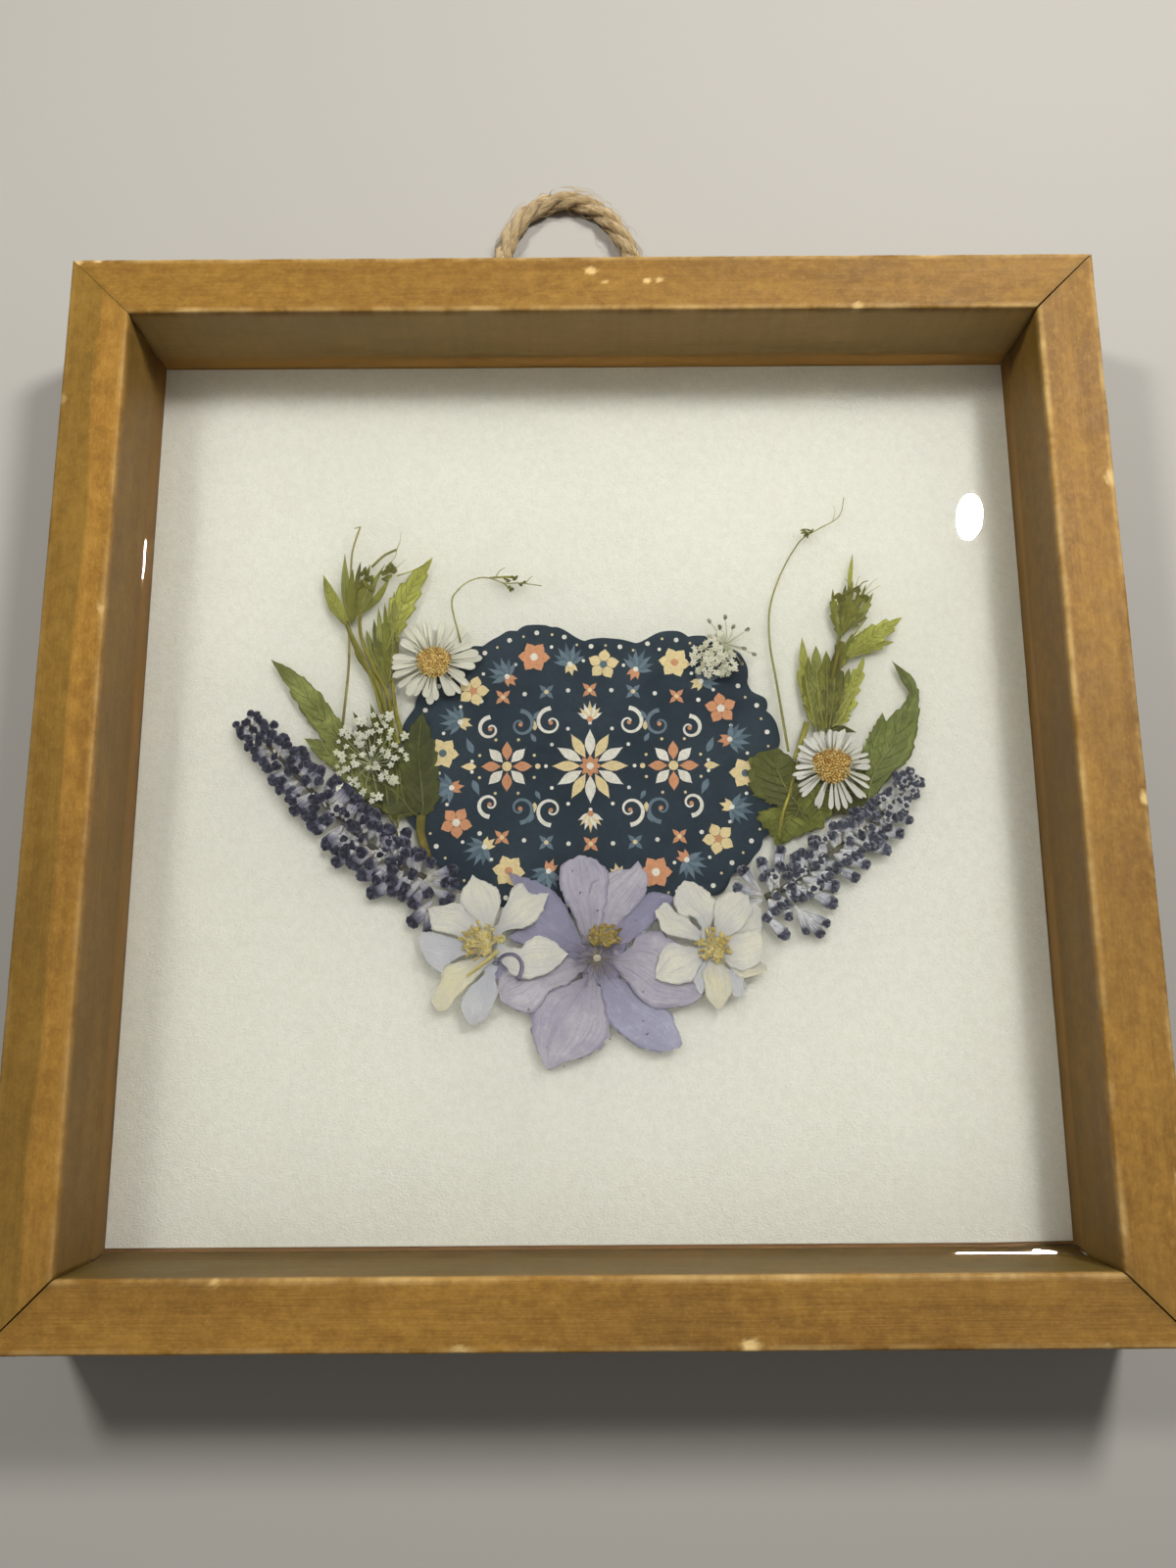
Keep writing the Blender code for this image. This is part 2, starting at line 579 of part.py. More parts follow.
def spike(name, axis, half_widths, outliers, look):
    """A grape hyacinth spike: a flat core with bells along both edges, and a few that stand away."""
    rows = 10
    curve = smooth(axis, 8)
    low, high = FLOWER_LAYER
    left = []
    right = []
    shells = []
    for row in range(rows + 1):
        t = row / rows
        place = t * (len(curve) - 2)
        spot = curve[int(place)].lerp(curve[int(place) + 1], place - int(place))
        ahead = curve[int(place) + 1] - curve[int(place)]
        side = Vector((-ahead.y, ahead.x)).normalized()
        part = t * (len(half_widths) - 1)
        near = half_widths[min(int(part), len(half_widths) - 2)]
        far = half_widths[min(int(part), len(half_widths) - 2) + 1]
        half = near + (far - near) * (part - min(int(part), len(half_widths) - 2))
        size = BELL_SMALL + (BELL_BIG - BELL_SMALL) * t
        left.append(tuple(spot + side * (half - size * 0.7)))
        right.append(tuple(spot - side * (half - size * 0.7)))
        turn = math.degrees(math.atan2(side.y, side.x))
        for way in (-1, 1):
            out = half - size * (1.05 if row % 2 else 0.87)
            height = low + 0.4 + 0.02 * ((2 * row + way) % 5)
            shells.append(bud(spot + side * way * out, (size * 1.2, size, 0.36), turn + 11, height))
    shells.append(plate(left + right[::-1], low + 0.1, high - 0.02))
    for i, (x, y, size) in enumerate(outliers):
        near = min(curve, key=lambda point: (point - Vector((x, y))).length)
        lift = STAGGER / 2 * i
        shells.append(plate(ribbon([tuple(near), (x, y)], 1.0, 1.0), low + 0.03 + lift, low + 0.34 + lift))
        shells.append(bud((x, y), (size, size, 0.36), 34 * i + 7, low + 0.41 + lift))
    fuse(name, shells, look)


def build_spikes():
    """The dark grape hyacinth on the left and the pale one on the right."""
    dark = material("hyacinth_dark", (0.03, 0.03, 0.06), 0.6)
    pale = material("hyacinth_pale", (0.25, 0.25, 0.35), 0.6)
    spike(
        "hyacinth_left",
        [(-76.2, 12.8), (-68.2, 4.6), (-57.2, -6.4), (-47.2, -15.4), (-38.6, -21.8)],
        (2.6, 5.0, 6.4, 7.6, 6.2),
        [(-57.0, -15.2, 2.1), (-54.4, -18.6, 1.8), (-48.6, -21.8, 2.0), (-46.8, -25.2, 2.2),
         (-41.2, -25.4, 1.4), (-37.2, -27.8, 2.0), (-36.8, -32.2, 2.0), (-40.2, -12.8, 1.8),
         (-30.6, -24.0, 2.6)],
        dark,
    )
    spike(
        "hyacinth_right",
        [(73.8, 0.2), (67.4, -7.4), (61.4, -12.6), (55.4, -17.0), (49.4, -21.4), (43.4, -24.8)],
        (2.6, 5.2, 5.8, 6.2, 6.4, 6.0),
        [(42.4, -35.0, 1.8), (50.6, -34.6, 2.2), (53.2, -28.4, 1.8), (53.8, -24.8, 2.0),
         (58.8, -22.6, 1.6), (66.0, -17.2, 1.7), (69.0, -13.4, 1.6), (35.0, -23.6, 2.4),
         (38.6, -20.6, 2.2)],
        pale,
    )


def build_cord():
    """The hanging loop of cord: each end goes into a socket in the top rail."""
    look = material("jute", (0.5, 0.37, 0.2), 0.9)
    curve = bpy.data.curves.new("hanging_loop", "CURVE")
    curve.dimensions = "3D"
    curve.bevel_depth = CORD_DIAMETER / 2
    curve.bevel_resolution = 2
    curve.use_fill_caps = True
    points = smooth(CORD_ROUTE, 1)
    spline = curve.splines.new("POLY")
    spline.points.add(len(points) - 1)
    for spot, point in zip(spline.points, points):
        spot.co = (*(point * MM), 1.0)
    add_object("hanging_loop", curve, look)


def main():
    for thing in list(bpy.data.objects):
        bpy.data.objects.remove(thing)
    build_frame()
    build_resin()
    build_plaque()
    build_leaves()
    build_sprigs()
    build_columbines()
    build_daisies()
    build_umbels()
    build_spikes()
    build_cord()


main()
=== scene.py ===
"""The looks of the pressed flower frame: a square wooden frame lying on its back, with pressed flowers and
a scalloped plaque cast in clear resin, and a loop of jute cord. Metres, +Z up, +Y towards the top rail.
"""

import math

import bpy
import numpy as np
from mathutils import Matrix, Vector, noise


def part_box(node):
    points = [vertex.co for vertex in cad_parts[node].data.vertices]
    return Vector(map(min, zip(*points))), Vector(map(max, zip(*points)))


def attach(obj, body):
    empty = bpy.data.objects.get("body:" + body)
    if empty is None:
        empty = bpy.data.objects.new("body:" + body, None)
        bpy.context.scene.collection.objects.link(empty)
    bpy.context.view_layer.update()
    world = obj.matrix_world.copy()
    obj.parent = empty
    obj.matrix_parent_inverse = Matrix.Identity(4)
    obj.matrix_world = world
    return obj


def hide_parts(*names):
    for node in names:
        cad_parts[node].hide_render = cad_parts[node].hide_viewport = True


MM = 0.001

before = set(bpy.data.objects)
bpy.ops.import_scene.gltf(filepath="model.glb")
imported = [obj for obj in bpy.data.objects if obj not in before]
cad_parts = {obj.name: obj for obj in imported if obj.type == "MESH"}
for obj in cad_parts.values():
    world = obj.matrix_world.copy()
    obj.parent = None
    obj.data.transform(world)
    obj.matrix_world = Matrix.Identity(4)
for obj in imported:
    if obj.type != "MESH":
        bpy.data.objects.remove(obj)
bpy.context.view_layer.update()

rail_low, rail_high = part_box("rail_top")
HALF = rail_high[1] / MM
DEPTH = rail_high[2] / MM
RAIL_WIDTH = (rail_high[1] - rail_low[1]) / MM
OPENING = HALF - RAIL_WIDTH
CARD_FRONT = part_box("backing_card")[1][2] / MM
RESIN_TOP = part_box("resin_cover")[1][2] / MM
PLAQUE_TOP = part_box("scalloped_plaque")[1][2] / MM

# The photograph's camera, solved from the frame's corners: millimetres and degrees
CAMERA_PLACE = (0.38, -53.99, 266.58)
CAMERA_TURN = (11.454, 0.054, -0.371)
CAMERA_LENS = 27.05
SENSOR = 36

CORD_DIAMETER = 4.4
CORD_ROUTE = [
    (-18.5, 108.3, 6.5), (-18.5, 114.0, 6.5), (-19.1, 120.0, 5.6), (-19.9, 126.5, 3.6), (-20.0, 133.0, 2.5),
    (-18.6, 139.6, 2.4), (-15.4, 145.2, 2.4), (-10.6, 149.2, 2.4), (-4.8, 150.8, 2.4), (0.8, 149.6, 2.4),
    (5.6, 146.2, 2.4), (9.4, 141.2, 2.4), (12.2, 135.0, 2.5), (13.9, 127.6, 3.6), (14.5, 120.6, 5.6),
    (14.6, 114.0, 6.5), (14.6, 108.3, 6.5),
]
# The angle between one seed and the next in a flower's head
GOLDEN_ANGLE = 2.39996
WHITE = (1.0, 1.0, 1.0, 1.0)


def srgb(red, green, blue):
    """A colour from 0 to 255 values as seen, as the linear value that a shader takes."""
    def linear(value):
        value = value / 255
        return value / 12.92 if value <= 0.04045 else ((value + 0.055) / 1.055) ** 2.4
    return (linear(red), linear(green), linear(blue), 1.0)


def smooth(points, per_span):
    """Points along a smooth curve through the given points."""
    knots = [Vector(point) for point in points]
    knots = [knots[0] * 2 - knots[1], *knots, knots[-1] * 2 - knots[-2]]
    curve = []
    for a, b, c, d in zip(knots, knots[1:], knots[2:], knots[3:]):
        for step in range(per_span):
            t = step / per_span
            curve.append(
                ((b * 2) + (c - a) * t + (a * 2 - b * 5 + c * 4 - d) * t**2
                 + (b * 3 - a - c * 3 + d) * t**3) * 0.5
            )
    curve.append(knots[-2])
    return curve


def evenly(points, count):
    """This many points, evenly spaced along a smooth curve through the given points."""
    fine = np.array([tuple(p) for p in smooth(points, 8)])
    steps = np.linalg.norm(np.diff(fine, axis=0), axis=1)
    run = np.concatenate([[0], np.cumsum(steps)])
    wanted = np.linspace(0, run[-1], count)
    return np.stack([np.interp(wanted, run, fine[:, i]) for i in range(fine.shape[1])], axis=1)


def ripple(x, y, z=0.0):
    """Smooth noise between about -1 and 1."""
    return noise.noise(Vector((x, y, z)))


def beside(x, y, reach, angle):
    """The point at this reach from (x, y), in the direction of the angle."""
    return (x + reach * math.cos(angle), y + reach * math.sin(angle))


def mixed(first, second, part):
    """A colour between two colours."""
    return tuple(a + (b - a) * part for a, b in zip(first, second))


# Node helpers

class Look:
    """A material under construction."""

    def __init__(self, name):
        self.material = bpy.data.materials.new(name)
        self.material.use_nodes = True
        self.tree = self.material.node_tree
        self.shader = self.tree.nodes["Principled BSDF"]
        self.places = {}

    def add(self, kind, settings=None, **inputs):
        """A node with its settings, and its inputs set or linked by name."""
        made = self.tree.nodes.new(kind)
        for key, value in (settings or {}).items():
            setattr(made, key, value)
        for key, value in inputs.items():
            self.feed(made.inputs[key.replace("_", " ")], value)
        return made

    def feed(self, socket, value):
        """Link a socket, or set its value."""
        if isinstance(value, bpy.types.NodeSocket):
            self.tree.links.new(value, socket)
        else:
            socket.default_value = value

    def place(self, kind, scale=(1, 1, 1), shift=(0, 0, 0)):
        """Texture coordinates of a kind, scaled."""
        if kind not in self.places:
            self.places[kind] = self.add("ShaderNodeTexCoord").outputs[kind]
        moved = self.add("ShaderNodeMapping", Vector=self.places[kind], Scale=scale, Location=shift)
        return moved.outputs["Vector"]

    def noise(self, vector, scale, detail, roughness, distortion=0.0):
        """Noise from 0 to 1."""
        made = self.add(
            "ShaderNodeTexNoise", Vector=vector, Scale=scale, Detail=detail,
            Roughness=roughness, Distortion=distortion,
        )
        return made.outputs["Fac"]

    def ramp(self, factor, *stops):
        """Colours along a factor. Each stop is (place, colour), or (place, number)."""
        made = self.add("ShaderNodeValToRGB", Fac=factor)
        elements = made.color_ramp.elements
        while len(elements) < len(stops):
            elements.new(0.5)
        for element, (place, colour) in zip(elements, stops):
            element.position = place
            element.color = colour if isinstance(colour, tuple) else (colour, colour, colour, 1.0)
        return made.outputs["Color"]

    def mix(self, factor, first, second, way="MIX"):
        """Mix two colours."""
        made = self.add("ShaderNodeMix", {"data_type": "RGBA", "blend_type": way})
        for number, value in ((0, factor), (6, first), (7, second)):
            self.feed(made.inputs[number], value)
        return made.outputs[2]

    def stain(self, colour, *stains):
        """Lay colours over a colour. Each is (factor, stop, stop, colour), a stop being (place, strength)."""
        for factor, first, last, over, *way in stains:
            colour = self.mix(self.ramp(factor, first, last), colour, over, *way)
        return colour

    def tint(self):
        """The tint that each corner carries."""
        return self.add("ShaderNodeAttribute", {"attribute_name": "tint"})

    def sum(self, way, first, second=0.5):
        """A sum of two numbers, such as ADD or MULTIPLY. SINE and ABSOLUTE only use the first."""
        made = self.add("ShaderNodeMath", {"operation": way})
        self.feed(made.inputs[0], first)
        self.feed(made.inputs[1], second)
        return made.outputs[0]

    def bump(self, height, strength, distance):
        """Feed a height into the shader's normal."""
        made = self.add("ShaderNodeBump", Height=height, Strength=strength, Distance=distance)
        self.feed(self.shader.inputs["Normal"], made.outputs["Normal"])

    def set(self, **inputs):
        """Set or link the shader's own inputs."""
        for key, value in inputs.items():
            self.feed(self.shader.inputs[key.replace("_", " ")], value)
        return self.material


class Shapes:
    """Gathers small closed shapes into one mesh. Each corner has a place (u, v) and a tint."""

    def __init__(self):
        self.verts = []
        self.faces = []
        self.uvs = []
        self.tints = []
        self.count = 0

    def add(self, verts, faces, uvs, tint):
        """Add corners (millimetres), faces, places and one tint or a tint for each corner."""
        verts = np.asarray(verts, dtype=float)
        tints = np.asarray(tint, dtype=float)
        if tints.ndim == 1:
            tints = np.tile(tints, (len(verts), 1))
        self.verts.append(verts)
        self.uvs.append(np.asarray(uvs, dtype=float))
        self.tints.append(tints)
        self.faces += [tuple(self.count + i for i in face) for face in faces]
        self.count += len(verts)

    def make(self, name, look, nodes=(), flat=False):
        """Make the object, riding on the root body."""
        mesh = bpy.data.meshes.new(name)
        verts = np.concatenate(self.verts) * MM
        mesh.from_pydata(verts.tolist(), [], self.faces)
        corner = np.zeros(len(mesh.loops), dtype=np.int32)
        mesh.loops.foreach_get("vertex_index", corner)
        places = np.concatenate(self.uvs)
        layer = mesh.uv_layers.new(name="Place")
        layer.data.foreach_set("uv", places[corner].ravel())
        tints = mesh.color_attributes.new("tint", "FLOAT_COLOR", "POINT")
        tints.data.foreach_set("color", np.concatenate(self.tints).astype(np.float32).ravel())
        if not flat:
            mesh.shade_smooth()
        mesh.materials.append(look)
        piece = bpy.data.objects.new(name, mesh)
        bpy.context.scene.collection.objects.link(piece)
        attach(piece, "root")
        if nodes:
            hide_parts(*nodes)
        return piece


def grid_faces(rows, columns, closed=False):
    """Faces of a grid of rows by columns. A closed grid joins its last column to its first."""
    faces = []
    spans = columns if closed else columns - 1
    for row in range(rows - 1):
        for column in range(spans):
            a = row * columns + column
            b = row * columns + (column + 1) % columns
            faces.append((a, b, b + columns, a + columns))
    return faces


def capped_faces(rows, columns):
    """Faces of a closed grid, with one more over each of its ends."""
    last = (rows - 1) * columns
    ends = [tuple(reversed(range(columns))), tuple(range(last, last + columns))]
    return grid_faces(rows, columns, closed=True) + ends


def grid_rim(rows, columns):
    """The corners along the edge of an open grid."""
    rim = list(range(columns))
    rim += [row * columns + columns - 1 for row in range(1, rows)]
    rim += [(rows - 1) * columns + i for i in range(columns - 2, -1, -1)]
    rim += [row * columns for row in range(rows - 2, 0, -1)]
    return rim


# Frame

RAIL_ROWS = 300
EDGE_RADIUS = 0.7
# How far from the front edges the wood can be worn
WORN_REACH = 1.5
# The resin's wet line on the wood stands this far above its top
WET_RISE = 0.9
# The width of the duller band along the left rail's outer edge
BAND_WIDTH = 7.8

# Each rail: the angle it is turned by from the top rail's place; how far its ends stop short of the mitre
# line (left outer, left inner, right outer, right inner corner, seen as the top rail); how bright its wood
# is painted overall, a painted shade for how much light that rail gets; how strongly its edges are worn;
# how much paler its inner wall is painted, as painted light, and how much darker, as painted shade; how dull
# the band is; and its chips and dents as (along, inset, radius, depth, how pale)
RAILS = {
    "rail_top": (0, (0.03, 0.07, 0.16, 0.26), 0.76, 0.75, 0.34, 0.04, 0.0, [
        (-113.2, 0.6, 1.8, 0.5, 0.9), (-108.2, 0.2, 1.1, 0.3, 0.8), (1.8, 3.7, 1.5, 0.1, 0.7),
        (5.0, 6.6, 0.8, 0.08, 0.5), (14.4, 6.3, 1.0, 0.08, 0.8), (17.0, 6.2, 1.0, 0.06, 0.7),
        (61.0, 12.8, 1.6, 0.25, 0.6),
    ]),
    "rail_left": (90, (0.12, 0.24, 0.03, 0.07), 0.94, 0.4, 0.0, 0.42, 0.42, [
        (-88.0, 0.8, 1.8, 0.35, 0.6), (32.0, 12.6, 1.4, 0.3, 0.5), (80.0, 0.6, 1.4, 0.3, 0.5),
    ]),
    "rail_bottom": (180, (0.2, 0.26, 0.14, 0.3), 0.9, 0.75, 0.0, 0.74, 0.0, [
        (-30.0, 1.0, 2.2, 0.35, 1.0), (24.0, 0.4, 2.0, 0.3, 0.7), (-96.0, 0.4, 1.2, 0.3, 0.5),
        (70.0, 12.9, 1.2, 0.2, 0.6),
    ]),
    "rail_right": (270, (0.16, 0.26, 0.2, 0.24), 0.86, 0.8, 0.0, 0.4, 0.0, [
        (-60.0, 0.6, 2.4, 0.3, 0.7), (10.0, 0.5, 1.8, 0.3, 0.8), (84.0, 1.0, 2.2, 0.4, 0.8),
    ]),
}


def rail_profile():
    """The rail's section as (inset from its outer side, height), with softly rounded edges."""
    # Each corner: its place, the number of spans in the side after it, and the number of steps around it
    corners = [
        ((0, 0), 18, 2), ((0, DEPTH), 30, 4), ((RAIL_WIDTH, DEPTH), 18, 4), ((RAIL_WIDTH, 0), 2, 2),
    ]
    ways = [Vector(way) for way in ((0, 1), (1, 0), (0, -1), (-1, 0))]
    points = []
    for number, (corner, spans, turns) in enumerate(corners):
        before = ways[number - 1] * EDGE_RADIUS
        after = ways[number] * EDGE_RADIUS
        centre = Vector(corner) - before + after
        for step in range(turns + 1):
            angle = math.pi / 2 * step / turns
            points.append(centre + before * math.sin(angle) - after * math.cos(angle))
        start = points[-1]
        finish = Vector(corners[(number + 1) % 4][0]) - after
        points += [start.lerp(finish, step / spans) for step in range(1, spans)]
    return points


def wood_look(name, seed, shade_tone):
    """Ochre stained softwood, its grain along X, darkened overall by a painted shade.

    The tint's channels say how pale it is (worn edges and chips, and painted light on an inner wall), how wet
    and how dull (end grain, a band, and painted shade on the inner walls).
    """
    look = Look(name)
    shift = (seed * 1.37, seed * 0.61, seed * 0.29)

    def layer(scale, *settings):
        return look.noise(look.place("Object", scale, shift), 1.0, *settings)

    grain = layer((14, 200, 200), 4.0, 0.55, 0.5)
    fibre = layer((70, 2300, 2300), 2.0, 0.6)
    cloud = layer((60, 90, 90), 5.0, 0.68, 0.6)
    patch = layer((17, 30, 30), 3.0, 0.6)
    speck = layer((1300, 1700, 1700), 3.0, 0.7)
    mottle = layer((330, 430, 430), 4.0, 0.7)
    colour = look.stain(
        look.ramp(grain, (0.32, srgb(122, 86, 32)), (0.5, srgb(134, 96, 37)), (0.72, srgb(142, 104, 42))),
        (mottle, (0.46, 0.0), (0.68, 0.55), srgb(160, 120, 52)),
        (mottle, (0.32, 0.4), (0.46, 0.0), srgb(108, 74, 29)),
        (cloud, (0.5, 0.0), (0.75, 0.4), srgb(164, 124, 54)),
        (patch, (0.32, 0.5), (0.55, 0.0), srgb(104, 74, 32)),
        (cloud, (0.28, 0.3), (0.45, 0.0), srgb(106, 76, 33)),
        (fibre, (0.32, 0.15), (0.56, 0.0), srgb(80, 54, 22)),
        (speck, (0.56, 0.0), (0.78, 0.32), srgb(180, 142, 70)),
        (speck, (0.28, 0.32), (0.45, 0.0), srgb(88, 62, 26)),
    )
    # Painted shade: the whole colour is darkened by how much light this rail gets
    colour = look.mix(1.0, colour, (shade_tone, shade_tone, shade_tone * 1.04, 1), "MULTIPLY")
    tint = look.add("ShaderNodeSeparateColor", Color=look.tint().outputs["Color"])
    for channel, over in (("Red", (214, 184, 124)), ("Green", (156, 108, 36)), ("Blue", (70, 60, 20))):
        colour = look.mix(tint.outputs[channel], colour, srgb(*over))
    look.bump(look.sum("ADD", grain, look.sum("MULTIPLY", fibre, 0.5)), 0.45, 0.0004)
    rough = look.sum("ADD", look.sum("MULTIPLY", cloud, 0.25), 0.46)
    return look.set(Base_Color=colour, Roughness=rough, Specular_IOR_Level=0.3)


def build_rail(name, seed):
    """One rail, drawn as the top rail and turned about the frame's middle. Its grain turns with it."""
    turn, gaps, shade_tone, wear, paling, wall_shade, band, marks = RAILS[name]
    left_outer, left_inner, right_outer, right_inner = gaps
    profile = rail_profile()
    verts = []
    tints = []
    uvs = []
    for row in range(RAIL_ROWS):
        t = row / (RAIL_ROWS - 1)
        for inset, height in profile:
            part = inset / RAIL_WIDTH
            left = -(HALF - inset) + left_outer + (left_inner - left_outer) * part
            right = HALF - inset - right_outer - (right_inner - right_outer) * part
            x = left + (right - left) * t
            edge = min(inset, RAIL_WIDTH - inset) + (DEPTH - height)
            outer = inset < RAIL_WIDTH / 2
            worn = max(0.0, 1 - edge / WORN_REACH)
            rough = 0.5 + 0.5 * ripple(x * 0.11, seed * 7.1, 3.0 if outer else 9.0)
            fine = 0.5 + 0.5 * ripple(x * 0.9, inset * 0.5, seed * 3.3)
            pale = wear * worn * max(0.0, rough * 1.5 + fine * 0.7 - 0.72)
            drop = worn * max(0.0, rough - 0.45) * 0.45 * fine
            y = HALF - inset + (-drop if outer else drop) * 0.8
            y += 0.06 * ripple(x * 0.05, height * 0.1, seed + 5)
            z = height
            if height > DEPTH / 2:
                sway = 0.07 * ripple(x * 0.04, inset * 0.1, seed) + 0.03 * ripple(x * 0.35, inset * 0.3, seed)
                z -= drop + 0.05 + sway
            for along, mark_inset, radius, depth, how_pale in marks:
                away = math.hypot(x - along, (inset - mark_inset) * 1.3, (DEPTH - height) * 0.7) / radius
                if away < 1.6:
                    hit = max(0.0, 1 - away - 0.35 * ripple(x * 1.9, inset * 1.9, seed))
                    z -= depth * hit
                    pale = max(pale, how_pale * min(1.0, hit * 2.2))
            dull = band * min(1.0, max(0.0, (BAND_WIDTH - inset + 1.6 * ripple(x * 0.03, 2.0)) / 0.8))
            # The ends' saw cuts are darker
            dull = max(dull, 25 * (abs(t - 0.5) - 0.49))
            wet = 0.0
            if inset > RAIL_WIDTH - 1:
                line = RESIN_TOP + WET_RISE
                line += 0.25 * ripple(x * 0.16, seed * 2.0) + 0.12 * ripple(x * 0.8, seed)
                wet = min(1.0, max(0.0, (line - height) / 0.25))
            # The inner wall below the front edge is painted paler, as painted light, and darker, as painted
            # shade
            if inset > RAIL_WIDTH - 0.3 and height < DEPTH - 1:
                pale = max(pale, paling * (1.0 + 0.3 * fine))
                dull = max(dull, wall_shade + 0.12 * ripple(x * 0.03, height * 0.08, seed))
            verts.append((x, y, max(z, 0.0)))
            tints.append((min(pale, 1.0) * 0.8, wet * 0.8, dull, 1.0))
            uvs.append((t, part))
    shapes = Shapes()
    faces = [tuple(reversed(face)) for face in capped_faces(RAIL_ROWS, len(profile))]
    shapes.add(verts, faces, uvs, tints)
    piece = shapes.make(name + "_wood", wood_look(name + "_look", seed, shade_tone), (name,))
    piece.data.set_sharp_from_angle(angle=math.radians(50))
    piece.rotation_euler.z = math.radians(turn)


def build_frame():
    """The four rails."""
    for seed, name in enumerate(RAILS, 1):
        build_rail(name, seed)


def card_look():
    """Off-white card with a fine tooth."""
    look = Look("card_look")
    broad = look.noise(look.place("Object"), 9.0, 2.0, 0.5)
    tooth = look.noise(look.place("Object", (1.0, 1.4, 1.0)), 1900.0, 2.0, 0.7)
    mottle = look.noise(look.place("Object"), 700.0, 3.0, 0.7)
    colour = look.stain(
        look.ramp(broad, (0.3, srgb(238, 237, 226)), (0.7, srgb(244, 243, 233))),
        (mottle, (0.36, 0.2), (0.6, 0.0), srgb(212, 210, 194)),
        (tooth, (0.3, 0.2), (0.6, 0.0), srgb(200, 198, 182)),
    )
    look.bump(look.sum("ADD", tooth, mottle), 0.5, 0.0004)
    return look.set(Base_Color=colour, Roughness=0.75, Specular_IOR_Level=0.1)


def panel_look():
    """Plain brown board, grain along X."""
    look = Look("panel_look")
    grain = look.noise(look.place("Object", (9, 160, 160)), 1.0, 4.0, 0.6, 0.4)
    look.bump(grain, 0.3, 0.0005)
    return look.set(
        Base_Color=look.ramp(grain, (0.3, srgb(120, 84, 44)), (0.7, srgb(158, 116, 66))), Roughness=0.6,
    )


def dress_nodes():
    """Give the CAD pieces that stay their materials."""
    for name, look in (("backing_card", card_look()), ("back_panel", panel_look())):
        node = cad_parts[name]
        node.data.materials.clear()
        node.data.materials.append(look)


# How far the resin's mesh reaches into the rails and into the card
RAIL_OVERLAP = 0.12
CARD_OVERLAP = 0.05
# How steeply the resin is drawn up each wall, how much of that slope is lost per millimetre, the height of
# the ripples there, and how close they lie. The slopes lead the small lamp's highlights to where the
# photograph has them
WALLS = {
    "left": (0.52, 0.3, 0.034, 0.7),
    "right": (0.036, 0.25, 0.05, 0.4),
    "top": (0.1, 0.25, 0.03, 0.6),
    "bottom": (0.43, 0.5, 0.003, 0.8),
}
# The slope has a nearly straight part and a rounded part, in millimetres
STRAIGHT = 0.8
ROUNDED = 1.8
# From here to the right the resin climbs along the bottom wall, towards the corner
CLIMB_START = 78.0
CLIMB = 0.00135


def drawn_up(away, along, wall):
    """How high the resin stands at a distance from a wall: a slope with a slight bow that rounds off."""
    slope, loss, ripples, close = WALLS[wall]
    bow = slope * loss
    last = slope - bow * STRAIGHT / 2
    t = min(1.0, max(0.0, 1 - (away - STRAIGHT) / ROUNDED))
    height = last * ROUNDED * t * t / 2
    if away < STRAIGHT:
        left = STRAIGHT - away
        height += last * left + bow * left * left / 2
    height += ripples * t * ripple(along * close, slope * 10)
    if wall == "bottom":
        height += CLIMB * max(0.0, along - CLIMB_START) ** 2 * t
    return height


def build_resin():
    """One clear slab, its top drawn up a little where it meets the rails."""
    edge = OPENING + RAIL_OVERLAP
    steps = [0.0, 0.2, 0.4, 0.6, 0.8, 1.0, 1.3, 1.6, 2.0, 2.4, 2.8, 3.3, 4, 5, 8, 12, 20]
    line = [-edge + step for step in steps]
    line += list(np.linspace(-edge + 26, edge - 26, 40))
    line += [edge - step for step in reversed(steps)]
    fine = []
    for a, b in zip(line, line[1:]):
        parts = max(1, int((b - a) / 1.6))
        fine += [a + (b - a) * i / parts for i in range(parts)]
    fine.append(line[-1])
    verts = []
    for y in fine:
        for x in fine:
            lift_x = drawn_up(edge - abs(x), y, "right" if x > 0 else "left")
            lift_y = drawn_up(edge - abs(y), x, "top" if y > 0 else "bottom")
            swell = 0.018 * ripple(x * 0.03, y * 0.03, 4.0)
            verts.append((x, y, RESIN_TOP + max(lift_x, lift_y) + swell))
    faces = grid_faces(len(fine), len(fine))
    rim = grid_rim(len(fine), len(fine))
    start = len(verts)
    size = len(rim)
    verts += [(verts[i][0], verts[i][1], CARD_FRONT - CARD_OVERLAP) for i in rim]
    for i in range(size):
        j = (i + 1) % size
        faces.append((rim[j], rim[i], start + i, start + j))
    faces.append(tuple(start + i for i in reversed(range(size))))
    shapes = Shapes()
    shapes.add(verts, faces, [(0.5, 0.5)] * len(verts), WHITE)
    look = Look("resin_look")
    look.set(Base_Color=WHITE, Roughness=0.0, IOR=1.5, Transmission_Weight=1.0, Specular_IOR_Level=0.5)
    depth = look.add("ShaderNodeVolumeAbsorption", Color=srgb(250, 248, 236), Density=8.0)
    look.feed(look.tree.nodes["Material Output"].inputs["Volume"], depth.outputs["Volume"])
    piece = shapes.make("resin", look.material, ("resin_floor", "resin_cover"))
    piece.data.set_sharp_from_angle(angle=math.radians(40))


STRANDS = 3
STRAND_SIDES = 20
# One turn of a strand around the cord takes this long
PITCH = 19.0
# Nothing of the cord goes lower than this
CORD_LOWEST = 0.05


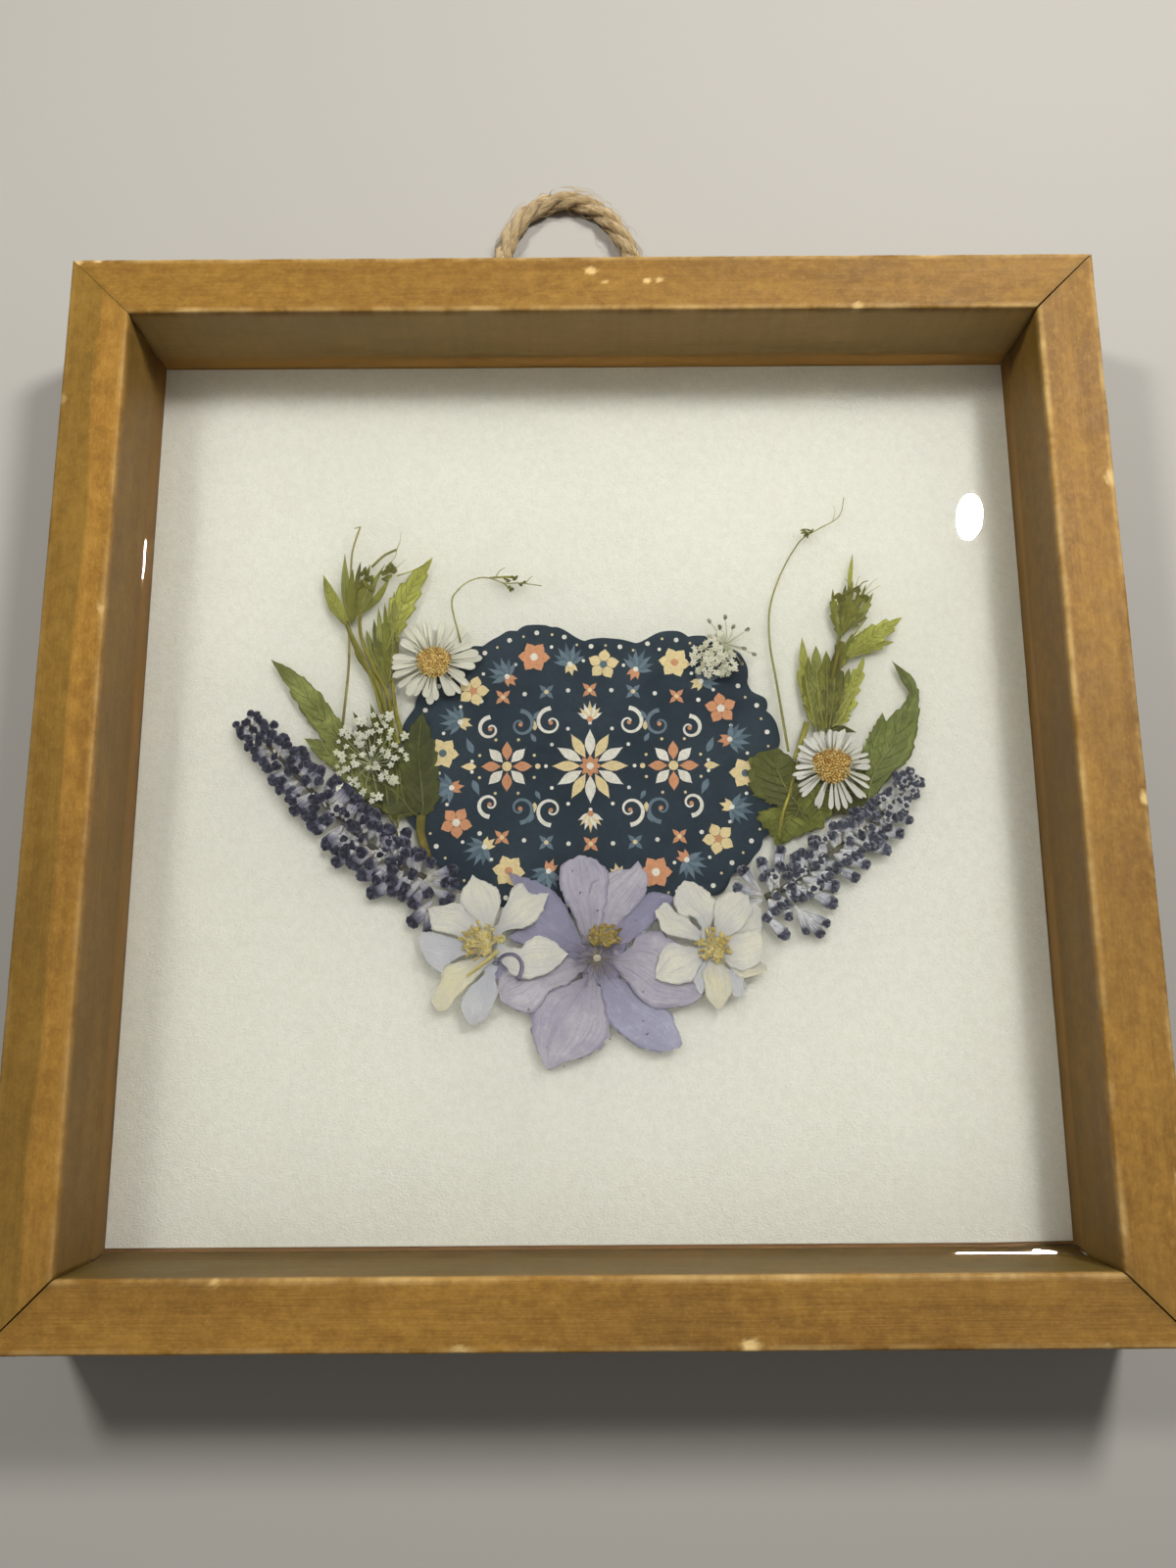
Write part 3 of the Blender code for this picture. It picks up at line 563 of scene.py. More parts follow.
def build_cord():
    """The hanging loop: three twisted strands of jute."""
    route = evenly(CORD_ROUTE, 260)
    tangents = np.gradient(route, axis=0)
    tangents /= np.linalg.norm(tangents, axis=1)[:, None]
    side = np.cross(tangents, (0, 0, 1.0))
    side /= np.linalg.norm(side, axis=1)[:, None]
    over = np.cross(side, tangents)
    length = float(np.linalg.norm(np.diff(route, axis=0), axis=1).sum())
    run = np.linspace(0, length, len(route))

    def away(i, angle):
        return side[i] * math.cos(angle) + over[i] * math.sin(angle)

    shapes = Shapes()
    strand = CORD_DIAMETER / 2 * 0.57
    for number in range(STRANDS):
        verts = []
        uvs = []
        for i, centre in enumerate(route):
            swell = 1 + 0.1 * ripple(run[i] * 0.35, number * 5.0)
            middle = centre + away(i, 2 * math.pi * (run[i] / PITCH + number / STRANDS)) * strand * 0.84
            for k in range(STRAND_SIDES):
                turn = 2 * math.pi * k / STRAND_SIDES
                yarn = math.sin(6 * turn + run[i] * 1.2 + number)
                ridge = 1 + 0.07 * yarn + 0.1 * ripple(run[i] * 1.1, k * 0.9, number)
                x, y, z = middle + away(i, turn) * strand * swell * ridge
                verts.append((x, y, max(z, CORD_LOWEST)))
                uvs.append((run[i] / length + 0.004 * math.sin(turn), k / STRAND_SIDES + run[i] / 22))
        shapes.add(verts, capped_faces(len(route), STRAND_SIDES), uvs, (0.5, number / STRANDS, 0, 1))
    look = Look("jute_look")
    fibres = look.noise(look.place("UV", (30, 34, 1)), 1.0, 5.0, 0.75, 0.4)
    broad = look.noise(look.place("Object"), 300.0, 3.0, 0.6)
    colour = look.ramp(
        fibres, (0.34, srgb(96, 72, 42)), (0.46, srgb(168, 142, 98)), (0.64, srgb(212, 190, 148)),
    )
    colour = look.stain(colour, (broad, (0.35, 0.45), (0.6, 0.0), srgb(140, 112, 70)))
    look.bump(fibres, 0.9, 0.0008)
    look.set(Base_Color=colour, Roughness=0.9, Sheen_Weight=0.25)
    piece = shapes.make("jute_loop", look.material, ("hanging_loop",))
    stray = build_stray_fibres(route, away)


def build_stray_fibres(route, away):
    """Fine fibres that stand off the cord."""
    rng = np.random.default_rng(17)
    shapes = Shapes()
    count = 7
    for _ in range(320):
        i = int(rng.integers(22, len(route) - 22))
        step = int(rng.integers(4, 14)) * (1 if rng.random() < 0.5 else -1)
        turn = rng.uniform(-0.4, math.pi + 0.4)
        sweep = rng.normal(0, 0.9)
        lift = rng.uniform(0.15, 1.0) ** 2 * 1.9
        verts = []
        for k in range(count):
            t = k / (count - 1)
            j = min(max(i + int(step * t), 0), len(route) - 1)
            stand = lift * math.sin(math.pi * min(t * 0.75, 0.6)) + 0.2 * ripple(t * 3, i * 0.7)
            centre = route[j] + away(j, turn + sweep * t) * (CORD_DIAMETER / 2 * 0.86 + stand)
            for corner in range(3):
                x, y, z = centre + away(j, 2 * math.pi * corner / 3) * 0.08 * (1 - 0.6 * t)
                verts.append((x, y, max(z, CORD_LOWEST)))
        shapes.add(verts, capped_faces(count, 3), [(0.5, 0.5)] * len(verts), (0.5, 0.5, 0, 1))
    look = Look("fibre_look")
    look.set(Base_Color=srgb(166, 138, 94), Roughness=0.9)
    return shapes.make("jute_fibres", look.material)


# Specimens in the resin

# Their outlines were read off the photograph as if all lay at READ_HEIGHT. VIEW_FOOT is the point below the
# camera, and READ_DEPTH says how fast the view narrows with height through the resin
VIEW_FOOT = Vector((0.4, -54.0))
READ_HEIGHT = 7.2
READ_DEPTH = 388.0


def seen(x, y, z):
    """Where a point read off the photograph at one depth lies when it is at height z."""
    shrink = 1 - (z - READ_HEIGHT) / READ_DEPTH
    return (VIEW_FOOT.x + (x - VIEW_FOOT.x) * shrink, VIEW_FOOT.y + (y - VIEW_FOOT.y) * shrink, z)


def sheet(shapes, points, places, tint, thickness):
    """A closed thin shell on a grid of points (rows, columns, 3), thickness downwards."""
    rows, columns = points.shape[:2]
    middle = points[rows // 2, columns // 2]
    along = points[min(rows // 2 + 1, rows - 1), columns // 2] - middle
    across = points[rows // 2, min(columns // 2 + 1, columns - 1)] - middle
    top = points.reshape(-1, 3)
    size = len(top)
    faces = grid_faces(rows, columns)
    rim = grid_rim(rows, columns)
    if across[0] * along[1] - across[1] * along[0] <= 0:
        faces = [tuple(reversed(face)) for face in faces]
        rim.reverse()
    faces += [tuple(size + i for i in reversed(face)) for face in faces]
    faces += [(b, a, size + a, size + b) for a, b in zip(rim, rim[1:] + rim[:1])]
    shapes.add(np.concatenate([top, top - (0, 0, thickness)]), faces, np.concatenate([places, places]), tint)


# A petal narrower than this gets a foot, so that it isn't a thread
NARROW = 0.12
PETAL_THICKNESS = 0.06


def blade(shapes, outline, height, colour, rows, columns, cup, ragged, teeth=(0, 0.0), seed=0.0, foot=0.0):
    """A petal or leaf between two edges. The outline is (base, left points, tip, right points back).

    It is cupped and ragged by so much, and its teeth are (how many, how deep).
    """
    base, left, tip, right = outline
    left_line = evenly([base, *left, tip], rows)
    right_line = evenly([base, *reversed(right), tip], rows)
    count, depth = teeth
    points = np.zeros((rows, columns, 3))
    places = np.zeros((rows, columns, 2))
    for row in range(rows):
        u = row / (rows - 1)
        first = Vector(left_line[row])
        wide = Vector(right_line[row]) - first
        least = foot * (1 - u * 3)
        if NARROW < wide.length < least:
            grow = wide.normalized() * (least - wide.length) / 2
            first = first - grow
            wide = wide + grow * 2
        if wide.length < NARROW:
            wide = (Vector(tip) - Vector(base)).normalized().orthogonal() * max(0.06, least / 2)
            if wide.dot(Vector(left_line[rows // 2]) - Vector(right_line[rows // 2])) > 0:
                wide = -wide
            first = first - wide
            wide = wide * 2
        last = first + wide
        if count:
            bite = depth * ((u * count) % 1 - 0.4) * min(1.0, 6 * u) * min(1.0, 4 * (1 - u))
            first -= wide.normalized() * bite
            last += wide.normalized() * bite
        for column in range(columns):
            v = column / (columns - 1)
            x, y = first.lerp(last, v)
            edge = abs(2 * v - 1)
            stray = ragged * edge**3 * min(1.0, wide.length / 3)
            shift_x = ripple(x * 0.6, y * 0.6, seed) + 0.6 * ripple(x * 2, y * 2, seed)
            shift_y = ripple(y * 0.6, x * 0.6, seed + 40) + 0.6 * ripple(y * 2, x * 2, seed)
            x += stray * shift_x
            y += stray * shift_y
            z = height + cup * (edge**2 - 0.5) * min(1.0, 3 * u)
            z += 0.06 * ripple(x * 0.35, y * 0.35, seed + 9) + 0.03 * ripple(v * 9, u * 2.5, seed)
            points[row, column] = seen(x, y, z)
            places[row, column] = (u, v)
    tint = (*colour[:3], (seed * 0.137) % 1)
    sheet(shapes, points, places.reshape(-1, 2), tint, PETAL_THICKNESS)


def tube(shapes, path, start, finish, colour, sides, flat=1.0, seed=0.0, count=None):
    """A thin stalk along a path of (x, y, z), with its radius at the start and at the finish."""
    count = count or max(4, len(path) * 4)
    line = evenly(path, count)
    verts = []
    places = []
    for i, (spot, way) in enumerate(zip(line, np.gradient(line, axis=0))):
        t = i / (count - 1)
        radius = start + (finish - start) * t
        side = Vector((way[1], -way[0], 0)).normalized()
        for k in range(sides):
            turn = 2 * math.pi * k / sides
            out = side * math.cos(turn) * radius + Vector((0, 0, 1)) * math.sin(turn) * radius * flat
            verts.append(tuple(Vector(seen(*spot)) + out))
            places.append((t, k / sides))
    shapes.add(verts, capped_faces(count, sides), places, (*colour[:3], seed % 1))


def ball(shapes, centre, size, colour, angle, sides, rings, seed=0.0, rim=None):
    """A lump with radii (along, across, up), turned about Z by an angle, with a paler rim in places."""
    middle = Vector(seen(*centre))
    verts = []
    places = []
    tints = []
    for ring in range(1, rings):
        polar = math.pi * ring / rings
        for k in range(sides):
            turn = 2 * math.pi * k / sides
            lump = 0.13 * math.sin(3 * turn + seed * 9) + 0.08 * math.sin(5 * turn + seed * 4)
            wide = math.sin(polar) * (1 + lump * math.sin(polar))
            x = size[0] * math.cos(turn) * wide
            y = size[1] * math.sin(turn) * wide
            spot = (
                x * math.cos(angle) - y * math.sin(angle), x * math.sin(angle) + y * math.cos(angle),
                size[2] * math.cos(polar),
            )
            verts.append(tuple(middle + Vector(spot)))
            places.append((ring / rings, k / sides))
            paling = max(0.0, math.sin(polar) - 0.6) * (1.1 + 1.1 * math.sin(2 * turn + seed * 7))
            tints.append((*mixed(colour, rim or colour, min(1.0, paling))[:3], seed % 1))
    top = len(verts)
    up = Vector((0, 0, size[2]))
    verts += [tuple(middle + up), tuple(middle - up)]
    places += [(0.0, 0.5), (1.0, 0.5)]
    tints += [(*colour[:3], seed % 1)] * 2
    faces = [tuple(reversed(face)) for face in grid_faces(rings - 1, sides, closed=True)]
    last = (rings - 2) * sides
    for k in range(sides):
        after = (k + 1) % sides
        faces += [(top, k, after), (top + 1, last + after, last + k)]
    shapes.add(verts, faces, places, tints)


def tinted(name, edge, vein, heart, edge_part, vein_part, heart_part=0.0, alpha=1.0, ribs=False, mottle=260.0,
           light_part=0.3, patches=0.3):
    """The look of a petal or leaf: its own tint, with veins along it, folds and blotches.

    The colours of its edge, veins and heart are laid over it, as strongly as each part says.
    """
    edge, vein, heart = (srgb(*colour) for colour in (edge, vein, heart))
    look = Look(name)
    tint = look.tint()
    shift = look.sum("MULTIPLY", tint.outputs["Alpha"], 37.0)
    apart = look.add("ShaderNodeSeparateXYZ", Vector=look.add("ShaderNodeTexCoord").outputs["UV"])
    along = apart.outputs["X"]
    across = apart.outputs["Y"]
    off = look.sum("MULTIPLY", look.sum("ABSOLUTE", look.sum("SUBTRACT", across, 0.5)), 2.0)
    blotch = look.noise(look.place("Object"), mottle, 4.0, 0.65)
    cloud = look.noise(look.place("Object"), mottle * 0.3, 2.0, 0.55, 0.4)
    fine = look.noise(look.place("Object"), 1500.0, 3.0, 0.7)

    def lines(reach, number):
        far = look.sum("MULTIPLY", along, reach)
        vector = look.add("ShaderNodeCombineXYZ", X=far, Y=look.sum("MULTIPLY", across, number), Z=shift)
        return look.noise(vector.outputs[0], 1.0, 3.0, 0.6, 0.35)

    veins = lines(2.2, 30.0)
    folds = lines(1.3, 5.0)
    colour = look.stain(
        tint.outputs["Color"],
        (cloud, (0.42, 0.0), (0.66, patches), vein),
        (folds, (0.3, 0.3), (0.47, 0.0), vein),
        (folds, (0.54, 0.0), (0.76, light_part * 0.5), WHITE, "SOFT_LIGHT"),
        (fine, (0.34, 0.25), (0.56, 0.0), vein),
        (veins, (0.38, vein_part), (0.49, 0.0), vein),
        (blotch, (0.5, 0.0), (0.74, light_part), WHITE, "SOFT_LIGHT"),
    )
    if ribs:
        slant = look.sum("SUBTRACT", look.sum("MULTIPLY", along, 52.0), look.sum("MULTIPLY", off, 9.0))
        wave = look.sum("SINE", look.sum("ADD", slant, look.sum("MULTIPLY", blotch, 3.0)))
        colour = look.stain(
            colour, (wave, (0.72, 0.0), (0.98, 0.3), vein), (off, (0.03, 0.55), (0.09, 0.0), edge),
        )
    from_heart = look.sum("ADD", along, look.sum("MULTIPLY", folds, 0.25))
    to_edge = look.sum("ADD", off, look.sum("MULTIPLY", blotch, 0.16))
    colour = look.stain(
        colour, (from_heart, (0.12, heart_part), (0.62, 0.0), heart),
        (to_edge, (0.94, 0.0), (1.0, edge_part), edge),
    )
    look.bump(look.sum("ADD", look.sum("ADD", veins, blotch), folds), 0.5, 0.0006)
    return look.set(Base_Color=colour, Roughness=0.6, Alpha=alpha, Specular_IOR_Level=0.08)


# Columbines: (base, left edge, tip, right edge back), height, colour

LAVENDER = srgb(207, 202, 213)
LAVENDER_PALE = srgb(218, 214, 221)
VIOLET = srgb(184, 184, 210)
VIOLET_DARK = srgb(162, 160, 188)
CREAM = srgb(248, 244, 224)
CREAM_WARM = srgb(242, 234, 194)
BLUISH = srgb(216, 217, 220)

MIDDLE_PETALS = [
    (((0, -38.5), [(-5, -39), (-12, -38), (-17, -35.6), (-13.8, -34), (-12, -30), (-13.5, -26.5), (-16, -24)],
      (-17.2, -21.4), [(-11, -23.5), (-8.5, -24.5), (-6, -27), (-4, -30), (-2.5, -33.8)]), 9.25, VIOLET_DARK),
    (((4.5, -37.5), [(6.8, -33), (7.3, -30.6), (10.6, -28.6), (14, -26)],
      (19.5, -27.2), [(18, -30), (15.4, -32), (13, -34), (9, -37)]), 9.25, VIOLET_DARK),
    (((-18.0, -39.6), [(-20.4, -41), (-20.4, -43.5), (-18.6, -45.2)],
      (-16, -46), [(-14.2, -44.6), (-13.9, -42), (-15.6, -39.8)]), 9.55, VIOLET_DARK),
    (((3, -44.5), [(2.7, -47), (3.4, -51), (5.6, -55.2), (9.8, -58.5), (14.8, -60.1)],
      (19.6, -59.4), [(20.2, -58), (19, -55), (17.4, -51.2), (12, -49), (8, -45)]), 9.4, VIOLET),
    (((0.5, -44), [(-4.3, -46), (-9.3, -47.7), (-11.8, -50.6), (-12, -53.5), (-12, -56), (-11.2, -58.9),
                   (-9.3, -62.3)],
      (-8.3, -63.8), [(-6.4, -63.1), (-4.3, -62), (0, -61), (3.5, -58.5), (4.9, -55.5), (4, -51),
                     (2.8, -46)]),
     9.55, LAVENDER),
    (((0, -42), [(-4.5, -40), (-9, -41.5), (-14, -40), (-18.8, -44)],
      (-18.9, -49), [(-16.8, -50.4), (-14.6, -51.3), (-11.6, -52), (-8, -47.5), (-4, -45.5)]), 9.7,
      LAVENDER_PALE),
    (((5, -40), [(8.8, -38.5), (11.8, -35), (16, -34.3), (18, -36), (24, -41), (27, -45)],
      (26, -47.5), [(22.5, -50), (18.5, -51), (13, -50.6), (9, -46), (6, -42)]), 9.75, LAVENDER),
    (((2.6, -36), [(1.6, -31.8), (0.3, -27), (1.4, -23.9), (5.6, -21.2), (9.3, -20.8)],
      (11.4, -19.2), [(13.4, -22.3), (12.9, -26), (10.4, -29.9), (7.1, -32.5), (6, -35)]), 9.8,
      LAVENDER_PALE),
    (((0.5, -37), [(-1.8, -33.9), (-3.5, -29.8), (-5.6, -25.6), (-6.2, -22.5), (-5.3, -20)],
      (-1.5, -17.8), [(1.5, -18.5), (4.3, -20.6), (5, -24), (4, -30), (2.6, -35)]), 9.9, LAVENDER),
]
LEFT_PETALS = [
    (((-20.8, -41.5), [(-22.7, -43.9), (-26, -47.3), (-27.3, -49.8), (-26.4, -52.7)],
      (-24.8, -54.5), [(-21.8, -52.7), (-19.8, -49.3), (-19.3, -46.8), (-20, -43.5)]), 10.3, BLUISH),
    (((-22.5, -38), [(-33.9, -34.3), (-36.3, -36.2)],
      (-36, -38.1), [(-34.8, -40.6), (-32.7, -42.7), (-30, -43.7), (-29.3, -41), (-26.4, -39.3)]), 10.4,
      BLUISH),
    (((-21, -39.5), [(-29.8, -41.4), (-31.4, -44.3), (-32.9, -48.1), (-33.5, -48.9)],
      (-32.3, -51.3), [(-30.2, -51), (-27.7, -48.1), (-24.3, -44.8), (-21, -41)]), 10.5, CREAM_WARM),
    (((-22.5, -36), [(-23.9, -32), (-26.4, -28.5), (-29.3, -28.3)],
      (-34.7, -29.2), [(-34.1, -31.4), (-33.9, -33.9), (-30.2, -34.8), (-26, -36)]), 10.55, CREAM),
    (((-20.2, -35.5), [(-18.6, -30.5), (-17.2, -27.3), (-16.8, -25.6), (-13.9, -23.9), (-12.9, -26)],
      (-8.3, -26.2), [(-9.3, -28.9), (-11, -32.3), (-13.9, -33.9), (-17.3, -34.1)]), 10.5, CREAM),
    (((-21.2, -36), [(-23.9, -32.3), (-26.8, -29.3), (-27.5, -27.3), (-26.8, -25)],
      (-25, -22), [(-22.3, -23.5), (-20.2, -24.5), (-18.9, -26.4), (-18.7, -28.5), (-20, -32.3)]), 10.65,
      CREAM),
    (((-19.5, -37.5), [(-17.7, -38.1), (-14.3, -37.7), (-12.7, -36.4), (-10.2, -35.4), (-7.3, -36.4)],
      (-4.1, -39.3), [(-6, -41.4), (-8.5, -43.5), (-12, -44.6), (-16, -43.8), (-18.6, -41)]), 10.6, CREAM),
]
RIGHT_PETALS = [
    (((31, -35), [(36, -28.5)], (38.1, -29.8), [(37.7, -34.3), (33, -35.5)]), 10.3, CREAM),
    (((32, -42), [(38.1, -41.3)], (39, -43.4), [(36, -44.3), (33.5, -44.9), (31.5, -43.5)]), 10.3,
     CREAM_WARM),
    (((26, -40), [(23, -45)], (24.5, -48.5), [(26.5, -44)]), 10.3, BLUISH),
    (((30, -43.5), [(31.2, -47.5), (31.4, -48.5)], (33.2, -48.8), [(34.1, -46.5), (33.5, -44.8)]), 10.35,
     BLUISH),
    (((27, -40.5), [(25, -43), (25, -46), (26, -49), (27.6, -51)],
      (28.7, -51.3), [(30.5, -49), (31.3, -46.5), (30.8, -43.6), (29, -41)]), 10.45, CREAM_WARM),
    (((29, -38), [(31, -35.8), (34.5, -34.6), (37.7, -34)],
      (38.1, -38), [(37.8, -41.2), (35, -43), (32, -43), (30, -41.5)]), 10.5, CREAM),
    (((25.5, -36.5), [(22, -31.5), (19, -30.2), (17.7, -28.4)],
      (14.9, -30.1), [(15.6, -33), (16.6, -35), (20, -35.9), (23.5, -36.4)]), 10.5, CREAM),
    (((25.5, -38.8), [(22.7, -38.1), (19.5, -37.2), (17, -37.5), (15.5, -40.5)],
      (14.7, -44.6), [(17, -45.7), (20, -46), (23, -44.8), (24.6, -42)]), 10.55, CREAM),
    (((28, -36), [(27.6, -32), (28, -28.8), (30.3, -27), (31.5, -26.1)],
      (35.4, -26.8), [(36.1, -30.2), (34.8, -32.8), (32.5, -35), (30, -36)]), 10.6, CREAM),
    (((26.5, -36), [(23.5, -31.8), (20, -30.8), (19.2, -28), (19.7, -25.5)],
      (21.4, -23.6), [(24, -24), (26, -25.5), (27.9, -28), (27.6, -31), (26.8, -34)]), 10.7, CREAM),
]

# Small brown spots on the lavender petals
PETAL_SPOTS = [
    (-1.4, -26.1), (12.1, -47.5), (12.0, -53.7), (12.8, -56.4), (-8.7, -59.0), (-1.1, -43.6), (-3.1, -21.3),
    (10.8, -32.2), (21.6, -41.9), (-12.6, -51.1), (2.4, -30.0), (-5.0, -63.1), (4.8, -57.4), (-7.0, -40.6),
]
# Where the lavender flower's hairs start
SPUR = (2.2, -40.3)
# The curled edge of the left columbine's lowest petal
CURL = [
    (-19.3, -41), (-18.2, -39.7), (-16.8, -39.3), (-15.4, -39.6), (-14.3, -40.8), (-14, -42.3),
    (-14.4, -43.8),
    (-15, -44.8),
]


def stamens(shapes, heart, centre, reach, count, colours, height, seed):
    """A brush of thin filaments with oval anthers, fanned from the heart."""
    rng = np.random.default_rng(seed)
    for i in range(count):
        angle = GOLDEN_ANGLE * i + rng.normal(0, 0.3)
        far = math.sqrt((i + 0.7) / count) * rng.uniform(0.75, 1.08)
        x = centre[0] + reach[0] * far * math.cos(angle)
        y = centre[1] + reach[1] * far * math.sin(angle)
        lift = height + 0.25 * rng.random() + 0.2 * (1 - far)
        colour = mixed(colours[0], colours[1], rng.random())
        stalk = mixed(colours[2], colours[0], rng.random() * 0.7)
        bend = ((heart[0] + x) / 2 + rng.normal(0, 0.35), (heart[1] + y) / 2 + rng.normal(0, 0.35), lift)
        tube(shapes, [(*heart, height - 0.1), bend, (x, y, lift)], 0.15, 0.1, stalk, 4, seed=i * 0.1, count=6)
        turn = math.atan2(y - heart[1], x - heart[0]) + rng.normal(0, 0.6)
        size = 0.24 + 0.14 * rng.random()
        ball(shapes, (x, y, lift + 0.05), (size * 2.0, size, 0.18), colour, turn, 7, 4, i * 0.37)


def build_columbines():
    """Three columbines: the lavender one beneath two white ones."""
    lavender = tinted(
        "lavender_look", (134, 128, 158), (168, 163, 184), (146, 140, 156), 0.4, 0.5, 0.55, 0.7, mottle=520.0,
        light_part=0.4, patches=0.4,
    )
    white = tinted(
        "white_petal_look", (196, 194, 186), (202, 203, 212), (182, 185, 200), 0.35, 0.32, 0.6, 0.82,
        mottle=340.0,
        light_part=0.45, patches=0.42,
    )
    for name, petals, look, slot in (
        ("columbine_middle", MIDDLE_PETALS, lavender, "lavender_petal"),
        ("columbine_left", LEFT_PETALS, white, "white_petal"),
        ("columbine_right", RIGHT_PETALS, white, "white_petal"),
    ):
        shapes = Shapes()
        for number, (outline, height, colour) in enumerate(petals):
            blade(shapes, outline, height, colour, 44, 21, 0.12, 0.5, seed=number * 1.7 + len(name), foot=3.6)
        if name == "columbine_middle":
            ball(shapes, (2.4, -40.4, 9.12), (6.4, 5.6, 0.08), VIOLET_DARK, 0.3, 40, 6)
        shapes.make(name + "_petals", look, (name,))
    build_stamens()
    shapes = Shapes()
    tube(shapes, [(*point, 10.75) for point in CURL], 0.35, 0.5, srgb(88, 84, 118), 7, 0.35, count=34)
    shapes.make("petal_curl", lavender, ())


def build_stamens():
    """The stamens of the three columbines, and the hairs and spots of the lavender one."""
    pollen = tinted("pollen_look", (110, 92, 40), (164, 140, 76), (0, 0, 0), 0.0, 0.2, mottle=900.0)
    # Their colours: the lighter anthers, the darker ones and the filaments
    gold = (srgb(240, 224, 152), srgb(190, 162, 84), srgb(246, 240, 200))
    olive = (srgb(190, 168, 92), srgb(104, 88, 44), srgb(176, 168, 132))
    shapes = Shapes()
    stamens(shapes, (-21.0, -37.5), (-23.3, -36.4), (4.5, 4.0), 84, gold, 10.95, 3)
    spur = [(-19.3, -38.5, 11.0), (-21.6, -40.6, 10.95), (-26.0, -44.0, 10.85)]
    tube(shapes, spur, 0.5, 0.25, srgb(214, 202, 130), 6, 0.4)
    for step in range(7):
        place = (-18.5 + 0.5 * math.cos(step * 2.4), -36 + 0.6 * math.sin(step * 2.4), 11.1)
        ball(shapes, place, (0.45, 0.4, 0.2), srgb(226, 218, 150), step, 6, 4, step * 0.2)
    shapes.make("stamens_left", pollen)
    shapes = Shapes()
    stamens(shapes, (27.3, -38.0), (27.6, -38.0), (4.1, 4.0), 76, gold, 10.95, 5)
    shapes.make("stamens_right", pollen)
    shapes = Shapes()
    stamens(shapes, (2.6, -37.0), (3.9, -35.4), (3.7, 2.6), 66, olive, 10.2, 7)
    rng = np.random.default_rng(11)
    for i in range(26):
        angle = 2 * math.pi * i / 26 + rng.normal(0, 0.08)
        tip = beside(*SPUR, 2.2 + 2.4 * rng.random(), angle)
        shade = mixed(srgb(150, 144, 120), srgb(112, 106, 110), rng.random())
        tube(shapes, [(*SPUR, 10.15), (*tip, 10.05)], 0.14, 0.05, shade, 4, seed=i * 0.1, count=4)
    ball(shapes, (*SPUR, 10.15), (0.9, 0.8, 0.3), srgb(212, 206, 190), 0, 8, 5)
    for i in range(54):
        angle = 2 * math.pi * i / 54 + rng.normal(0, 0.06)
        near = rng.uniform(1.8, 3.4)
        ends = (near, near + rng.uniform(1.5, 5.0))
        shade = mixed(srgb(128, 120, 148), srgb(170, 160, 176), rng.random())
        path = [(*beside(*SPUR, reach, angle), 9.95) for reach in ends]
        tube(shapes, path, 0.09, 0.03, shade, 3, seed=i * 0.1, count=3)
    for x, y in PETAL_SPOTS:
        wide = 0.22 + 0.2 * rng.random()
        ball(shapes, (x, y, 9.95), (wide, wide * 0.7, 0.05), srgb(122, 108, 128), rng.random() * 3, 7, 3)
    shapes.make("stamens_middle", pollen)


# How many grains each daisy's disc has
DISC_GRAINS = 150


